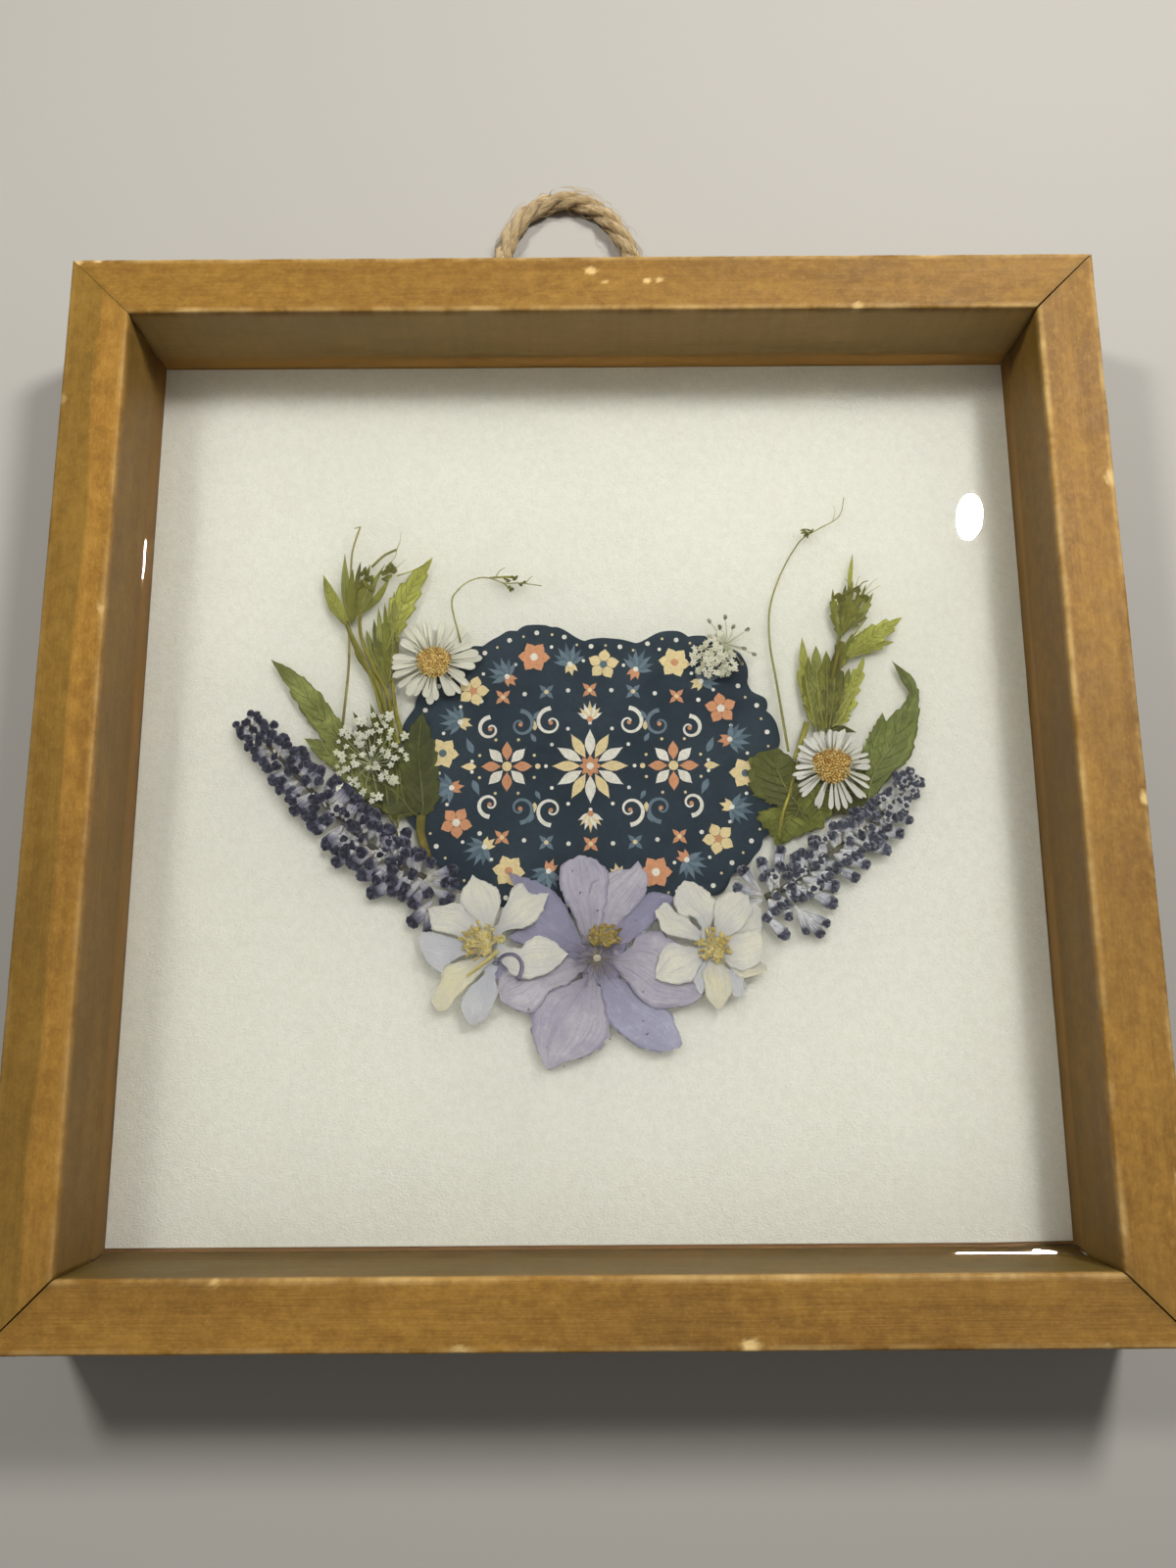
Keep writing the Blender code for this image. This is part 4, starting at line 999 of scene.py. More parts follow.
def build_daisies():
    """Two daisies: a pale papery one over the plaque's corner and a white one on the leaves."""
    rng = np.random.default_rng(21)
    thin = tinted(
        "thin_petal_look", (216, 212, 186), (240, 238, 216), (196, 192, 156), 0.7, 0.35, 0.4, 0.9,
        mottle=420.0,
    )
    firm = tinted(
        "firm_petal_look", (212, 210, 196), (234, 232, 220), (214, 212, 176), 0.5, 0.3, 0.4, 0.97,
        mottle=420.0,
    )
    disc_look = tinted("daisy_disc_look", (190, 140, 60), (206, 158, 76), (0, 0, 0), 0.0, 0.15, mottle=1200.0)
    # Name, centre, radius of the disc, reach of the upper and the lower petals, least and most half width,
    # number of petals, height, look, colour, unevenness
    flowers = (
        ("daisy_left", (-34.5, 26.8), 3.7, (9.9, 9.0), (0.62, 1.1), 32, 9.6, thin, srgb(255, 253, 236), 0.8),
        ("daisy_right", (55.1, 2.0), 4.1, (8.6, 10.2), (0.42, 0.66), 34, 9.7, firm, srgb(254, 253, 246), 0.4),
    )
    for name, centre, disc, reaches, halves, count, height, look, colour, spread in flowers:
        shapes = Shapes()
        middle = Vector(centre)
        for i in range(count):
            angle = 2 * math.pi * i / count + rng.normal(0, 0.09 * spread + 0.02)
            downwards = max(0.0, -math.sin(angle))
            reach = reaches[0] + (reaches[1] - reaches[0]) * downwards + rng.normal(0, spread)
            half = rng.uniform(*halves)
            way = Vector((math.cos(angle), math.sin(angle)))
            side = way.orthogonal()
            bend = side * rng.normal(0, 0.3)
            start = middle + way * disc * 0.75
            finish = middle + way * reach + bend
            marks = ((0.3, 0.5), (0.62, 0.85), (0.84, 1.0), (0.96, 0.62))
            edges = [[tuple(start.lerp(finish, t) + side * half * w * k) for t, w in marks] for k in (1, -1)]
            outline = (tuple(start), edges[0], tuple(finish), edges[1][::-1])
            lift = height + 0.14 * (i % 3) + 0.06 * rng.random()
            shade = mixed(colour, srgb(206, 202, 186), min(1.0, rng.random() ** 2 * 0.6 + 0.3 * downwards))
            blade(shapes, outline, lift, shade, 12, 7, 0.1, 0.16, seed=i * 0.73)
            if rng.random() < 0.85:
                turn = angle + rng.normal(0.09, 0.03)
                reach = disc + rng.uniform(0.8, 3.4)
                path = [(*beside(*centre, far, turn), height + 0.42) for far in (disc * 0.9, reach)]
                shade = mixed(srgb(62, 56, 36), srgb(160, 152, 114), rng.random())
                tube(shapes, path, 0.17, 0.06, shade, 4, count=3)
        shapes.make(name + "_petals", look, (name,))
        shapes = Shapes()
        ball(shapes, (*centre, height + 0.35), (disc * 0.96, disc * 0.94, 0.42), srgb(140, 98, 40), 0, 28, 8)
        for i in range(DISC_GRAINS):
            far = math.sqrt((i + 0.5) / DISC_GRAINS)
            angle = GOLDEN_ANGLE * i
            x = centre[0] + disc * 1.02 * far * math.cos(angle) + rng.normal(0, 0.05)
            y = centre[1] + disc * far * math.sin(angle) + rng.normal(0, 0.05)
            lift = height + 0.42 + 0.4 * math.sqrt(max(0.0, 1 - far * far)) + 0.08 * rng.random()
            shade = mixed(srgb(255, 236, 158), srgb(182, 134, 58), rng.random() ** 1.2)
            ball(shapes, (x, y, lift), (0.34, 0.26, 0.3), shade, rng.random() * 3, 6, 4, i * 0.11)
        shapes.make(name + "_disc", disc_look)


def floret(shapes, x, y, z, size, colour, rng):
    """A tiny flower: five rounded petals of unlike size around a greenish dot."""
    turn = rng.random() * 6.28
    for k in range(5):
        angle = turn + k * 1.2566
        own = size * (0.75 + 0.5 * rng.random())
        spot = (*beside(x, y, 0.62 * size, angle), z + 0.03 * k)
        ball(shapes, spot, (own * 0.66, own * 0.42, 0.07), colour, angle, 7, 4, rng.random())
    dot = (size * 0.25, size * 0.25, 0.08)
    ball(shapes, (x, y, z + 0.1), dot, srgb(168, 170, 120), 0, 5, 4, rng.random())


# The ends of the right lace flower's bare stalks
STALK_ENDS = [
    (28.5, 36.1), (32.2, 37.0), (30.9, 34.6), (34.0, 34.7), (37.2, 34.0), (36.3, 29.5), (38.5, 28.1),
    (35.6, 26.0),
]


def build_lace():
    """Two heads of lace flower: a full one on the left and the back of one on the plaque's corner."""
    rng = np.random.default_rng(31)
    look = tinted("lace_look", (150, 150, 110), (232, 231, 208), (0, 0, 0), 0.0, 0.15, mottle=900.0)
    stalk = srgb(142, 148, 92)
    shapes = Shapes()
    hub = (-48.0, 3.0)
    for i in range(30):
        far = math.sqrt((i + 0.4) / 30)
        angle = GOLDEN_ANGLE * i + 0.6
        x = -48.6 + 8.3 * far * math.cos(angle)
        y = 5.4 + 9.2 * far * math.sin(angle)
        path = [(*hub, 9.15), ((hub[0] + x) / 2, (hub[1] + y) / 2, 9.3), (x, y, 9.55)]
        tube(shapes, path, 0.12, 0.08, stalk, 4, seed=i * 0.1, count=6)
        for k in range(3):
            size = 0.5 + 0.16 * rng.random() + (0.42 if far > 0.86 and k == 0 else 0.0)
            floret(
                shapes, x + rng.normal(0, 0.95), y + rng.normal(0, 0.95), 9.6 + 0.25 * rng.random(), size,
                mixed(srgb(255, 254, 242), srgb(226, 226, 198), rng.random() ** 1.6), rng,
            )
    shapes.make("lace_flower_left_florets", look, ("lace_flower_left",))
    shapes = Shapes()
    hub = (32.2, 30.6)
    for i, (x, y) in enumerate(STALK_ENDS):
        path = [(*hub, 9.4), ((hub[0] + x) / 2 + 0.2, (hub[1] + y) / 2, 9.5), (x, y, 9.5)]
        tube(shapes, path, 0.16, 0.09, srgb(176, 178, 136), 5, seed=i * 0.1, count=8)
        turn = math.atan2(y - hub[1], x - hub[0])
        ball(shapes, (x, y, 9.55), (0.72, 0.48, 0.25), srgb(84, 76, 48), turn, 7, 5)
    for i in range(19):
        tip = beside(*hub, 2.0 + 2.2 * rng.random(), 2 * math.pi * i / 19)
        shade = mixed(srgb(150, 162, 104), srgb(206, 206, 176), rng.random())
        tube(shapes, [(*hub, 9.45), (*tip, 9.55)], 0.09, 0.05, shade, 4, count=4)
    for i in range(34):
        x, y = beside(29.6, 27.4, 5.2 * math.sqrt((i + 0.5) / 34), GOLDEN_ANGLE * i)
        if math.hypot(x - 33.4, y - 31.4) < 2.6:
            continue
        tube(shapes, [(*hub, 9.35), (x, y, 9.5)], 0.1, 0.07, stalk, 4, count=4)
        for k in range(3):
            floret(
                shapes, x + rng.normal(0, 0.55), y + rng.normal(0, 0.55), 9.6 + 0.3 * rng.random(),
                0.5 + 0.16 * rng.random(),
                mixed(srgb(254, 252, 232), srgb(176, 172, 134), rng.random() ** 2), rng,
            )
    shapes.make("lace_flower_right_florets", look, ("lace_flower_right",))


# A bell's rings from foot to mouth: how far along, how wide, how dark
BELL_RINGS = [
    (0.0, 0.14, 0.0), (0.2, 0.4, 0.15), (0.45, 0.7, 0.45), (0.7, 0.92, 0.85), (0.88, 0.98, 1.4),
    (1.0, 0.7, 2.0),
]
BELL_SIDES = 10


def bell(shapes, foot, tip, radius, height, seed, colours):
    """A small bell flower from foot to tip, its streaked body paler at the foot, with a dark lobed mouth."""
    start = Vector(foot)
    way = Vector(tip) - start
    length = way.length
    way.normalize()
    side = way.orthogonal()
    pale, body, dark = colours
    verts = []
    places = []
    tints = []
    for u, wide, shade in BELL_RINGS:
        centre = start + way * (length - radius * 0.7) * u
        for k in range(BELL_SIDES):
            turn = 2 * math.pi * k / BELL_SIDES
            spot = centre + side * math.cos(turn) * radius * wide * 0.92
            verts.append(seen(*spot, height + math.sin(turn) * radius * wide * 0.3))
            places.append((u, k / BELL_SIDES))
            # Each blot darkens the rest of its ring too
            shade = min(2.0, shade + 0.45 * max(0.0, ripple(u * 5.0, k * 1.3, seed)))
            colour = mixed(pale, body, shade) if shade < 1 else mixed(body, dark, shade - 1)
            tints.append((*colour[:3], seed % 1))
    shapes.add(verts, capped_faces(len(BELL_RINGS), BELL_SIDES), places, tints)
    angle = math.atan2(way.y, way.x)
    head = Vector(tip) - way * radius
    ball(shapes, (*head, height + 0.05), (radius * 0.9, radius * 0.95, 0.42), dark, angle, 14, 8, seed, body)
    for k in (-1, 0, 1):
        out = angle + 0.75 * k
        place = (*beside(*head, radius * 0.5, out), height + 0.14)
        shade = mixed(dark, body, 0.2 * (k == 0))
        ball(shapes, place, (radius * 0.55, radius * 0.5, 0.4), shade, out, 10, 6, seed + k, body)


def mouth(shapes, x, y, radius, height, seed, body, dark):
    """A bell seen end on: a lobed collar around a dark mouth."""
    for k in range(6):
        angle = seed + k * 1.047
        place = (*beside(x, y, 0.75 * radius, angle), height)
        rim = mixed(body, dark, 0.35)
        ball(shapes, place, (radius * 0.62, radius * 0.5, 0.3), body, angle, 8, 5, seed + k, rim)
    ball(shapes, (x, y, height + 0.2), (radius * 0.75, radius * 0.62, 0.24), dark, seed, 9, 5, seed)


def spike(name, axis, widths, knobs, lone, colours, look, seed, openness):
    """A hyacinth spike: bells to both sides of its axis, bells seen end on between them, and lone ones."""
    rng = np.random.default_rng(seed)
    pale, body, dark = colours
    shapes = Shapes()
    line = evenly(axis, 200)
    run = np.concatenate([[0], np.cumsum(np.linalg.norm(np.diff(line, axis=0), axis=1))])
    tube(shapes, [(x, y, 9.0) for x, y in line[::28]], 0.35, 0.8, srgb(92, 86, 56), 6, 0.5)

    def stand(distance):
        """Where the axis is at a distance, its way to the tip, its side, its half width, the bells' size."""
        i = int(np.searchsorted(run, distance))
        i = min(max(i, 1), len(line) - 2)
        forward = Vector(line[i - 1] - line[i + 1]).normalized()
        grown = min(1.0, distance / run[-1] * 2.2) ** 0.6
        half, size = (low + (high - low) * grown for low, high in (widths, knobs))
        return Vector(line[i]), forward, forward.orthogonal(), half, size

    for turn in (-1, 1):
        distance = 0.4 + 0.7 * (turn > 0)
        while distance < run[-1] - 1:
            centre, forward, side, half, size = stand(distance)
            lean = rng.uniform(-0.15, 0.75)
            out = (side * turn + forward * lean).normalized()
            reach = half * rng.uniform(0.82, 1.16)
            radius = size * rng.uniform(0.85, 1.15)
            foot = centre + out * half * 0.1
            height = 9.4 + 0.12 * rng.random()
            bell(shapes, foot, centre + out * reach, radius, height, rng.random() * 6, colours)
            distance += size * rng.uniform(1.1, 1.6)
    distance = 0.0
    while distance < run[-1] - 1:
        centre, forward, side, half, size = stand(distance)
        for turn in (-1, 0, 1):
            if rng.random() >= 0.9:
                continue
            across = side * half * (turn * 0.42 + rng.normal(0, 0.12))
            spot = centre + across + forward * rng.normal(0, 0.5)
            if rng.random() < openness:
                radius = size * rng.uniform(0.6, 0.85)
                height = 9.95 + 0.25 * rng.random()
                own_seed = rng.random() * 6
                own_body = mixed(body, pale, rng.random())
                own_mouth = mixed(dark, body, 0.1 * rng.random())
                mouth(shapes, *spot, radius, height, own_seed, own_body, own_mouth)
            else:
                way = side * (turn + rng.normal(0, 0.5)) + forward * rng.uniform(-0.1, 1.0)
                aim = spot + way.normalized() * size * rng.uniform(1.3, 2.2)
                radius = size * rng.uniform(0.7, 0.95)
                height = 9.8 + 0.3 * rng.random()
                bell(shapes, spot, aim, radius, height, rng.random() * 6, colours)
        if rng.random() < 0.6:
            place = (centre.x + rng.normal(0, half * 0.3), centre.y + rng.normal(0, half * 0.3), 10.2)
            shade = mixed(pale, srgb(232, 228, 208), 0.5)
            ball(shapes, place, (0.5, 0.28, 0.15), shade, rng.random() * 3, 7, 4, rng.random())
        distance += size * rng.uniform(1.15, 1.6)
    for foot_x, foot_y, tip_x, tip_y, radius in lone:
        bell(shapes, (foot_x, foot_y), (tip_x, tip_y), radius, 9.45, rng.random() * 6, colours)
    shapes.make(name + "_bells", look, (name,))


# The axis of each spike from its tip, and its lone bells: foot, tip, radius
LEFT_AXIS = [(-76.4, 13.2), (-68.2, 4.2), (-57, -7), (-46.6, -16.2), (-38.2, -21.6), (-34.5, -23)]
LEFT_LONE = [
    (-50.5, -13.5, -58.6, -15.2, 1.75), (-49, -15.5, -56.0, -19.6, 1.5), (-46.5, -16.5, -52.2, -19.9, 1.2),
    (-41, -21.5, -50.6, -22.0, 1.65), (-39.5, -22.5, -48.2, -26.4, 1.75), (-38.6, -22.6, -41.6, -26.4, 1.1),
    (-35, -24.5, -38.6, -29.2, 1.6), (-33.5, -27.5, -38.8, -33.2, 1.6), (-41.5, -16.5, -39.2, -11.4, 1.4),
    (-44, -17, -43.6, -12.2, 1.3), (-37, -19, -35.6, -16.2, 1.2), (-34, -22.0, -28.2, -20.6, 1.5),
    (-34, -23.5, -27.8, -24.0, 1.5), (-34, -25.0, -28.8, -27.8, 1.5), (-37, -22.5, -34.0, -27.0, 1.5),
    (-34.5, -28.5, -34.6, -35.2, 1.1), (-32, -21, -30.4, -24.8, 1.4), (-32, -26, -30.6, -29.0, 1.3),
]
RIGHT_AXIS = [
    (73.6, -0.6), (67.5, -7.3), (61.7, -12.3), (55.8, -16.5), (49.6, -21), (44.2, -24.8), (38.5, -27.8),
]
RIGHT_LONE = [
    (38.5, -31.0, 43.9, -36.4, 1.5), (48.0, -25.5, 54.8, -29.4, 1.7), (47.5, -23.5, 55.6, -25.2, 1.6),
    (54, -20.5, 60.0, -23.6, 1.35), (56, -18.5, 62.5, -20.6, 1.3), (60, -15.5, 67.4, -17.4, 1.45),
    (63, -12.5, 70.4, -13.6, 1.4), (66, -9.5, 72.6, -10.6, 1.15), (38.0, -26.0, 33.6, -20.5, 1.4),
    (40.0, -25.0, 38.2, -18.4, 1.4), (38.5, -27.0, 32.0, -24.8, 1.3), (41.5, -24.0, 43.0, -15.8, 1.3),
    (41.5, -29, 38.6, -32.8, 1.2), (43.5, -28, 44.2, -32.6, 1.2), (38.5, -28, 33.2, -29.2, 1.3),
    (46.5, -30.0, 51.4, -36.2, 1.2), (46.5, -30.0, 53.0, -33.6, 1.1), (45.5, -29.0, 48.0, -35.6, 1.0),
]


def build_hyacinths():
    """Two grape hyacinth spikes, the left one dark, the right one pale with dark mouths."""
    dark_look = tinted(
        "hyacinth_dark_look", (24, 25, 36), (66, 66, 86), (150, 146, 150), 0.0, 0.6, mottle=700.0,
        light_part=0.5,
    )
    pale_look = tinted(
        "hyacinth_pale_look", (40, 40, 50), (84, 87, 102), (200, 198, 196), 0.0, 0.75, mottle=700.0,
        light_part=0.6,
    )
    spike(
        "hyacinth_left", LEFT_AXIS, (2.5, 6.4), (0.95, 1.65), LEFT_LONE,
        (srgb(226, 223, 216), srgb(140, 139, 156), srgb(32, 33, 42)), dark_look, 41, 0.18,
    )
    spike(
        "hyacinth_right", RIGHT_AXIS, (2.5, 5.4), (0.9, 1.45), RIGHT_LONE,
        (srgb(252, 250, 242), srgb(206, 207, 214), srgb(42, 44, 54)), pale_look, 43, 0.32,
    )


# Greenery: outlines as for the petals, then height, colour, teeth

GREEN = srgb(144, 150, 84)
GREEN_DARK = srgb(94, 94, 54)
GREEN_DEEP = srgb(70, 72, 48)
GREEN_YELLOW = srgb(188, 190, 94)
GREEN_OLIVE = srgb(120, 122, 56)

LEAF_LEFT = [
    (((-48, -1), [(-50, 6), (-55.2, 12.7), (-60.2, 19.7), (-66, 24.7)],
      (-71.5, 27.5), [(-68.4, 22.5), (-65.6, 17.9), (-62, 12.5), (-57, 6), (-52.5, 0)]), 8.3, GREEN, (0, 0)),
    (((-50, 2), [(-56, 11.5), (-60.5, 14.4)],
      (-63.1, 14.4), [(-60.6, 11.1), (-58.4, 9.7), (-53, 3)]), 8.2, GREEN_OLIVE, (0, 0)),
    (((-47, -4), [(-52, 4), (-59, 8.4)],
      (-63.2, 9.0), [(-60.6, 5.6), (-56.5, 2), (-54.7, -0.3), (-50, -4.5)]), 8.35, GREEN, (0, 0)),
    (((-44, -6), [(-48, 4), (-51, 10)], (-52.5, 15.2), [(-48, 10), (-44, 2)]), 8.4, GREEN_DARK, (5, 0.6)),
    (((-42, -6), [(-45.5, 4), (-48, 11)], (-48.6, 17.0), [(-45, 11), (-40, 2)]), 8.3, GREEN_OLIVE, (0, 0)),
    (((-36.5, -8.9), [(-40, -3), (-41.5, 5), (-39.5, 11)],
      (-36.8, 14.8), [(-34.3, 8.4), (-33, 0.6), (-33.1, -5.3), (-35.2, -8.5)]), 8.45, GREEN_DEEP, (8, 1.0)),
    (((-38.4, -8.2), [(-44.7, -8.2), (-50.6, -4.4), (-54, -1.4)],
      (-55.5, 0.5), [(-50, 4), (-44, 4), (-39, 0)]), 8.2, GREEN_DARK, (8, 0.8)),
    (((-37.5, -8.6), [(-42, -9.4), (-45.5, -7), (-46, 0)],
      (-43, 7.5), [(-38, 5), (-36, -2)]), 8.3, GREEN_DEEP, (8, 0.7)),
]
LEAF_RIGHT = [
    (((62.5, -6.5), [(60.5, 0), (62.5, 6), (67.6, 12), (73.1, 17.9), (71.6, 22)],
      (69.8, 26.3), [(75.1, 20.9), (74.9, 12), (72.6, 3.8), (69, 0.6), (65, -4)]), 8.3,
      srgb(124, 133, 80), (0, 0)),
    (((60, 0), [(62.2, 5.6), (64.4, 10)],
      (67, 14.2), [(67.8, 11), (66.5, 6), (64, 0)]), 8.35, srgb(130, 140, 78), (0, 0)),
    (((48, -10), [(40, -6), (36.7, -3.5), (37.2, 3.8)],
      (43.1, 6.2), [(47, 3), (52, -2), (52, -8)]), 8.35, GREEN_DARK, (9, 1.0)),
    (((47, -6), [(38.1, -8.9), (40.4, -13)],
      (41.9, -16.2), [(45.8, -14.4), (50, -12.5), (52.6, -11.6), (52, -8)]), 8.25, GREEN_OLIVE, (8, 0.9)),
    (((46.5, -2), [(50, 2), (58, 1), (63, -1)],
      (65.5, -5), [(60, -8), (54, -9), (48, -8)]), 8.2, GREEN_DARK, (0, 0)),
    (((48.5, -2), [(47, -6), (49, -9.5)],
      (51.9, -10.6), [(54.5, -9), (55, -5.5), (52, -2)]), 8.5, GREEN_OLIVE, (6, 0.7)),
]
# Narrow blades of the sprigs: base, tip, width, bend to the left, colour, teeth
SPRIG_LEFT = [
    ((-45.2, 29.1), (-35.2, 52.0), 5.6, 1.6, GREEN_YELLOW, (6, 1.1)),
    ((-44.6, 20.6), (-50.0, 34.4), 2.6, 0.6, GREEN, (3, 0.5)),
    ((-44.8, 21.0), (-48.4, 37.0), 2.2, 0.5, GREEN_DARK, (3, 0.5)),
    ((-44.8, 21.5), (-47.4, 39.8), 2.2, 0.3, GREEN, (4, 0.5)),
    ((-44.6, 21.2), (-46.0, 40.9), 2.0, 0.0, GREEN_OLIVE, (4, 0.5)),
    ((-44.4, 21.8), (-43.9, 43.7), 2.6, -0.3, GREEN, (4, 0.5)),
    ((-44.0, 23.0), (-44.6, 36.0), 2.6, -0.5, GREEN_DARK, (3, 0.4)),
    ((-54.0, 35.0), (-60.4, 47.9), 3.0, 0.6, GREEN_YELLOW, (0, 0)),
    ((-54.0, 36.0), (-55.6, 52.9), 2.0, 0.3, GREEN, (0, 0)),
    ((-53.4, 35.4), (-53.6, 49.2), 2.2, 0.4, GREEN_OLIVE, (3, 0.4)),
    ((-53.0, 36.0), (-51.9, 51.0), 1.8, 0.3, GREEN_DARK, (3, 0.4)),
    ((-52.6, 37.0), (-49.6, 50.4), 1.8, 0.2, GREEN_OLIVE, (3, 0.4)),
    ((-51.6, 38.0), (-47.8, 47.8), 1.6, -0.2, GREEN, (0, 0)),
    ((-51.2, 38.4), (-45.0, 47.2), 1.7, -0.6, GREEN_OLIVE, (0, 0)),
    ((-51.4, 39.5), (-46.2, 50.4), 1.2, 0.2, GREEN, (0, 0)),
    ((-50.6, 25.8), (-52.6, 31.6), 1.0, 0.3, GREEN_OLIVE, (0, 0)),
    ((-45.0, 25.0), (-43.2, 30.4), 1.4, -0.3, GREEN_DARK, (0, 0)),
]
SPRIG_RIGHT = [
    ((52.0, 9.6), (49.6, 32.0), 3.4, 0.6, GREEN_YELLOW, (3, 0.6)),
    ((52.4, 9.8), (50.9, 27.4), 3.6, 0.8, GREEN_OLIVE, (4, 0.6)),
    ((53.6, 9.4), (52.7, 30.0), 5.0, 0.4, GREEN, (4, 1.0)),
    ((54.2, 9.6), (55.0, 28.8), 5.0, -0.2, GREEN_OLIVE, (4, 0.9)),
    ((54.8, 10.0), (57.0, 28.6), 4.6, -0.4, GREEN_DARK, (4, 0.9)),
    ((55.6, 10.6), (60.0, 24.6), 3.6, -0.4, GREEN_OLIVE, (4, 0.9)),
    ((56.6, 12.0), (61.0, 20.6), 3.2, -0.6, GREEN_YELLOW, (3, 1.0)),
    ((57.0, 14.0), (63.6, 27.3), 3.0, -0.5, GREEN_YELLOW, (4, 0.9)),
    ((55.8, 11.0), (59.4, 16.8), 2.6, -0.6, GREEN_YELLOW, (2, 0.9)),
    ((54.6, 10.4), (60.9, 9.6), 1.5, 0.4, GREEN_DARK, (0, 0)),
    ((57.6, 24.0), (61.2, 33.0), 2.4, -0.2, GREEN_OLIVE, (0, 0)),
    ((58.4, 25.0), (64.2, 33.2), 1.6, 0.2, GREEN_YELLOW, (0, 0)),
    ((57.8, 24.0), (58.4, 33.4), 1.5, 0.4, GREEN_DARK, (3, 0.4)),
    ((59.0, 27.2), (70.6, 30.8), 2.6, 0.6, GREEN_YELLOW, (4, 0.8)),
    ((59.4, 27.6), (72.7, 36.6), 4.4, 0.2, GREEN_YELLOW, (5, 1.0)),
    ((60.0, 28.4), (68.2, 35.0), 2.2, 0.6, GREEN, (3, 0.7)),
    ((58.4, 31.5), (57.2, 43.6), 1.7, 0.5, GREEN_OLIVE, (4, 0.5)),
    ((58.6, 31.5), (58.9, 42.2), 1.9, 0.3, GREEN, (4, 0.6)),
    ((59.0, 32.0), (60.2, 44.6), 1.8, 0.4, GREEN_DARK, (4, 0.6)),
    ((59.2, 32.4), (61.9, 45.6), 1.9, 0.2, GREEN_OLIVE, (5, 0.6)),
    ((59.6, 33.0), (63.3, 43.4), 1.9, -0.2, GREEN_DARK, (4, 0.6)),
    ((59.8, 34.0), (64.9, 44.6), 1.5, -0.3, GREEN_OLIVE, (4, 0.5)),
    ((60.0, 34.4), (66.4, 42.6), 1.7, -0.7, GREEN, (4, 0.6)),
    ((60.2, 34.0), (65.4, 39.6), 1.6, -0.5, GREEN_DARK, (3, 0.6)),
    ((60.8, 42.0), (62.2, 52.2), 1.1, 0.1, GREEN_YELLOW, (0, 0)),
]


def spear(base, tip, width, bend):
    """The outline of a narrow blade, for blade()."""
    start = Vector(base)
    way = Vector(tip) - start
    side = way.normalized().orthogonal()
    left = []
    right = []
    for u, wide in ((0.15, 0.55), (0.38, 0.95), (0.6, 0.92), (0.82, 0.5)):
        middle = start + way * u + side * bend * math.sin(math.pi * u)
        left.append(tuple(middle + side * width * wide / 2))
        right.append(tuple(middle - side * width * wide / 2))
    return (base, left, tip, right[::-1])


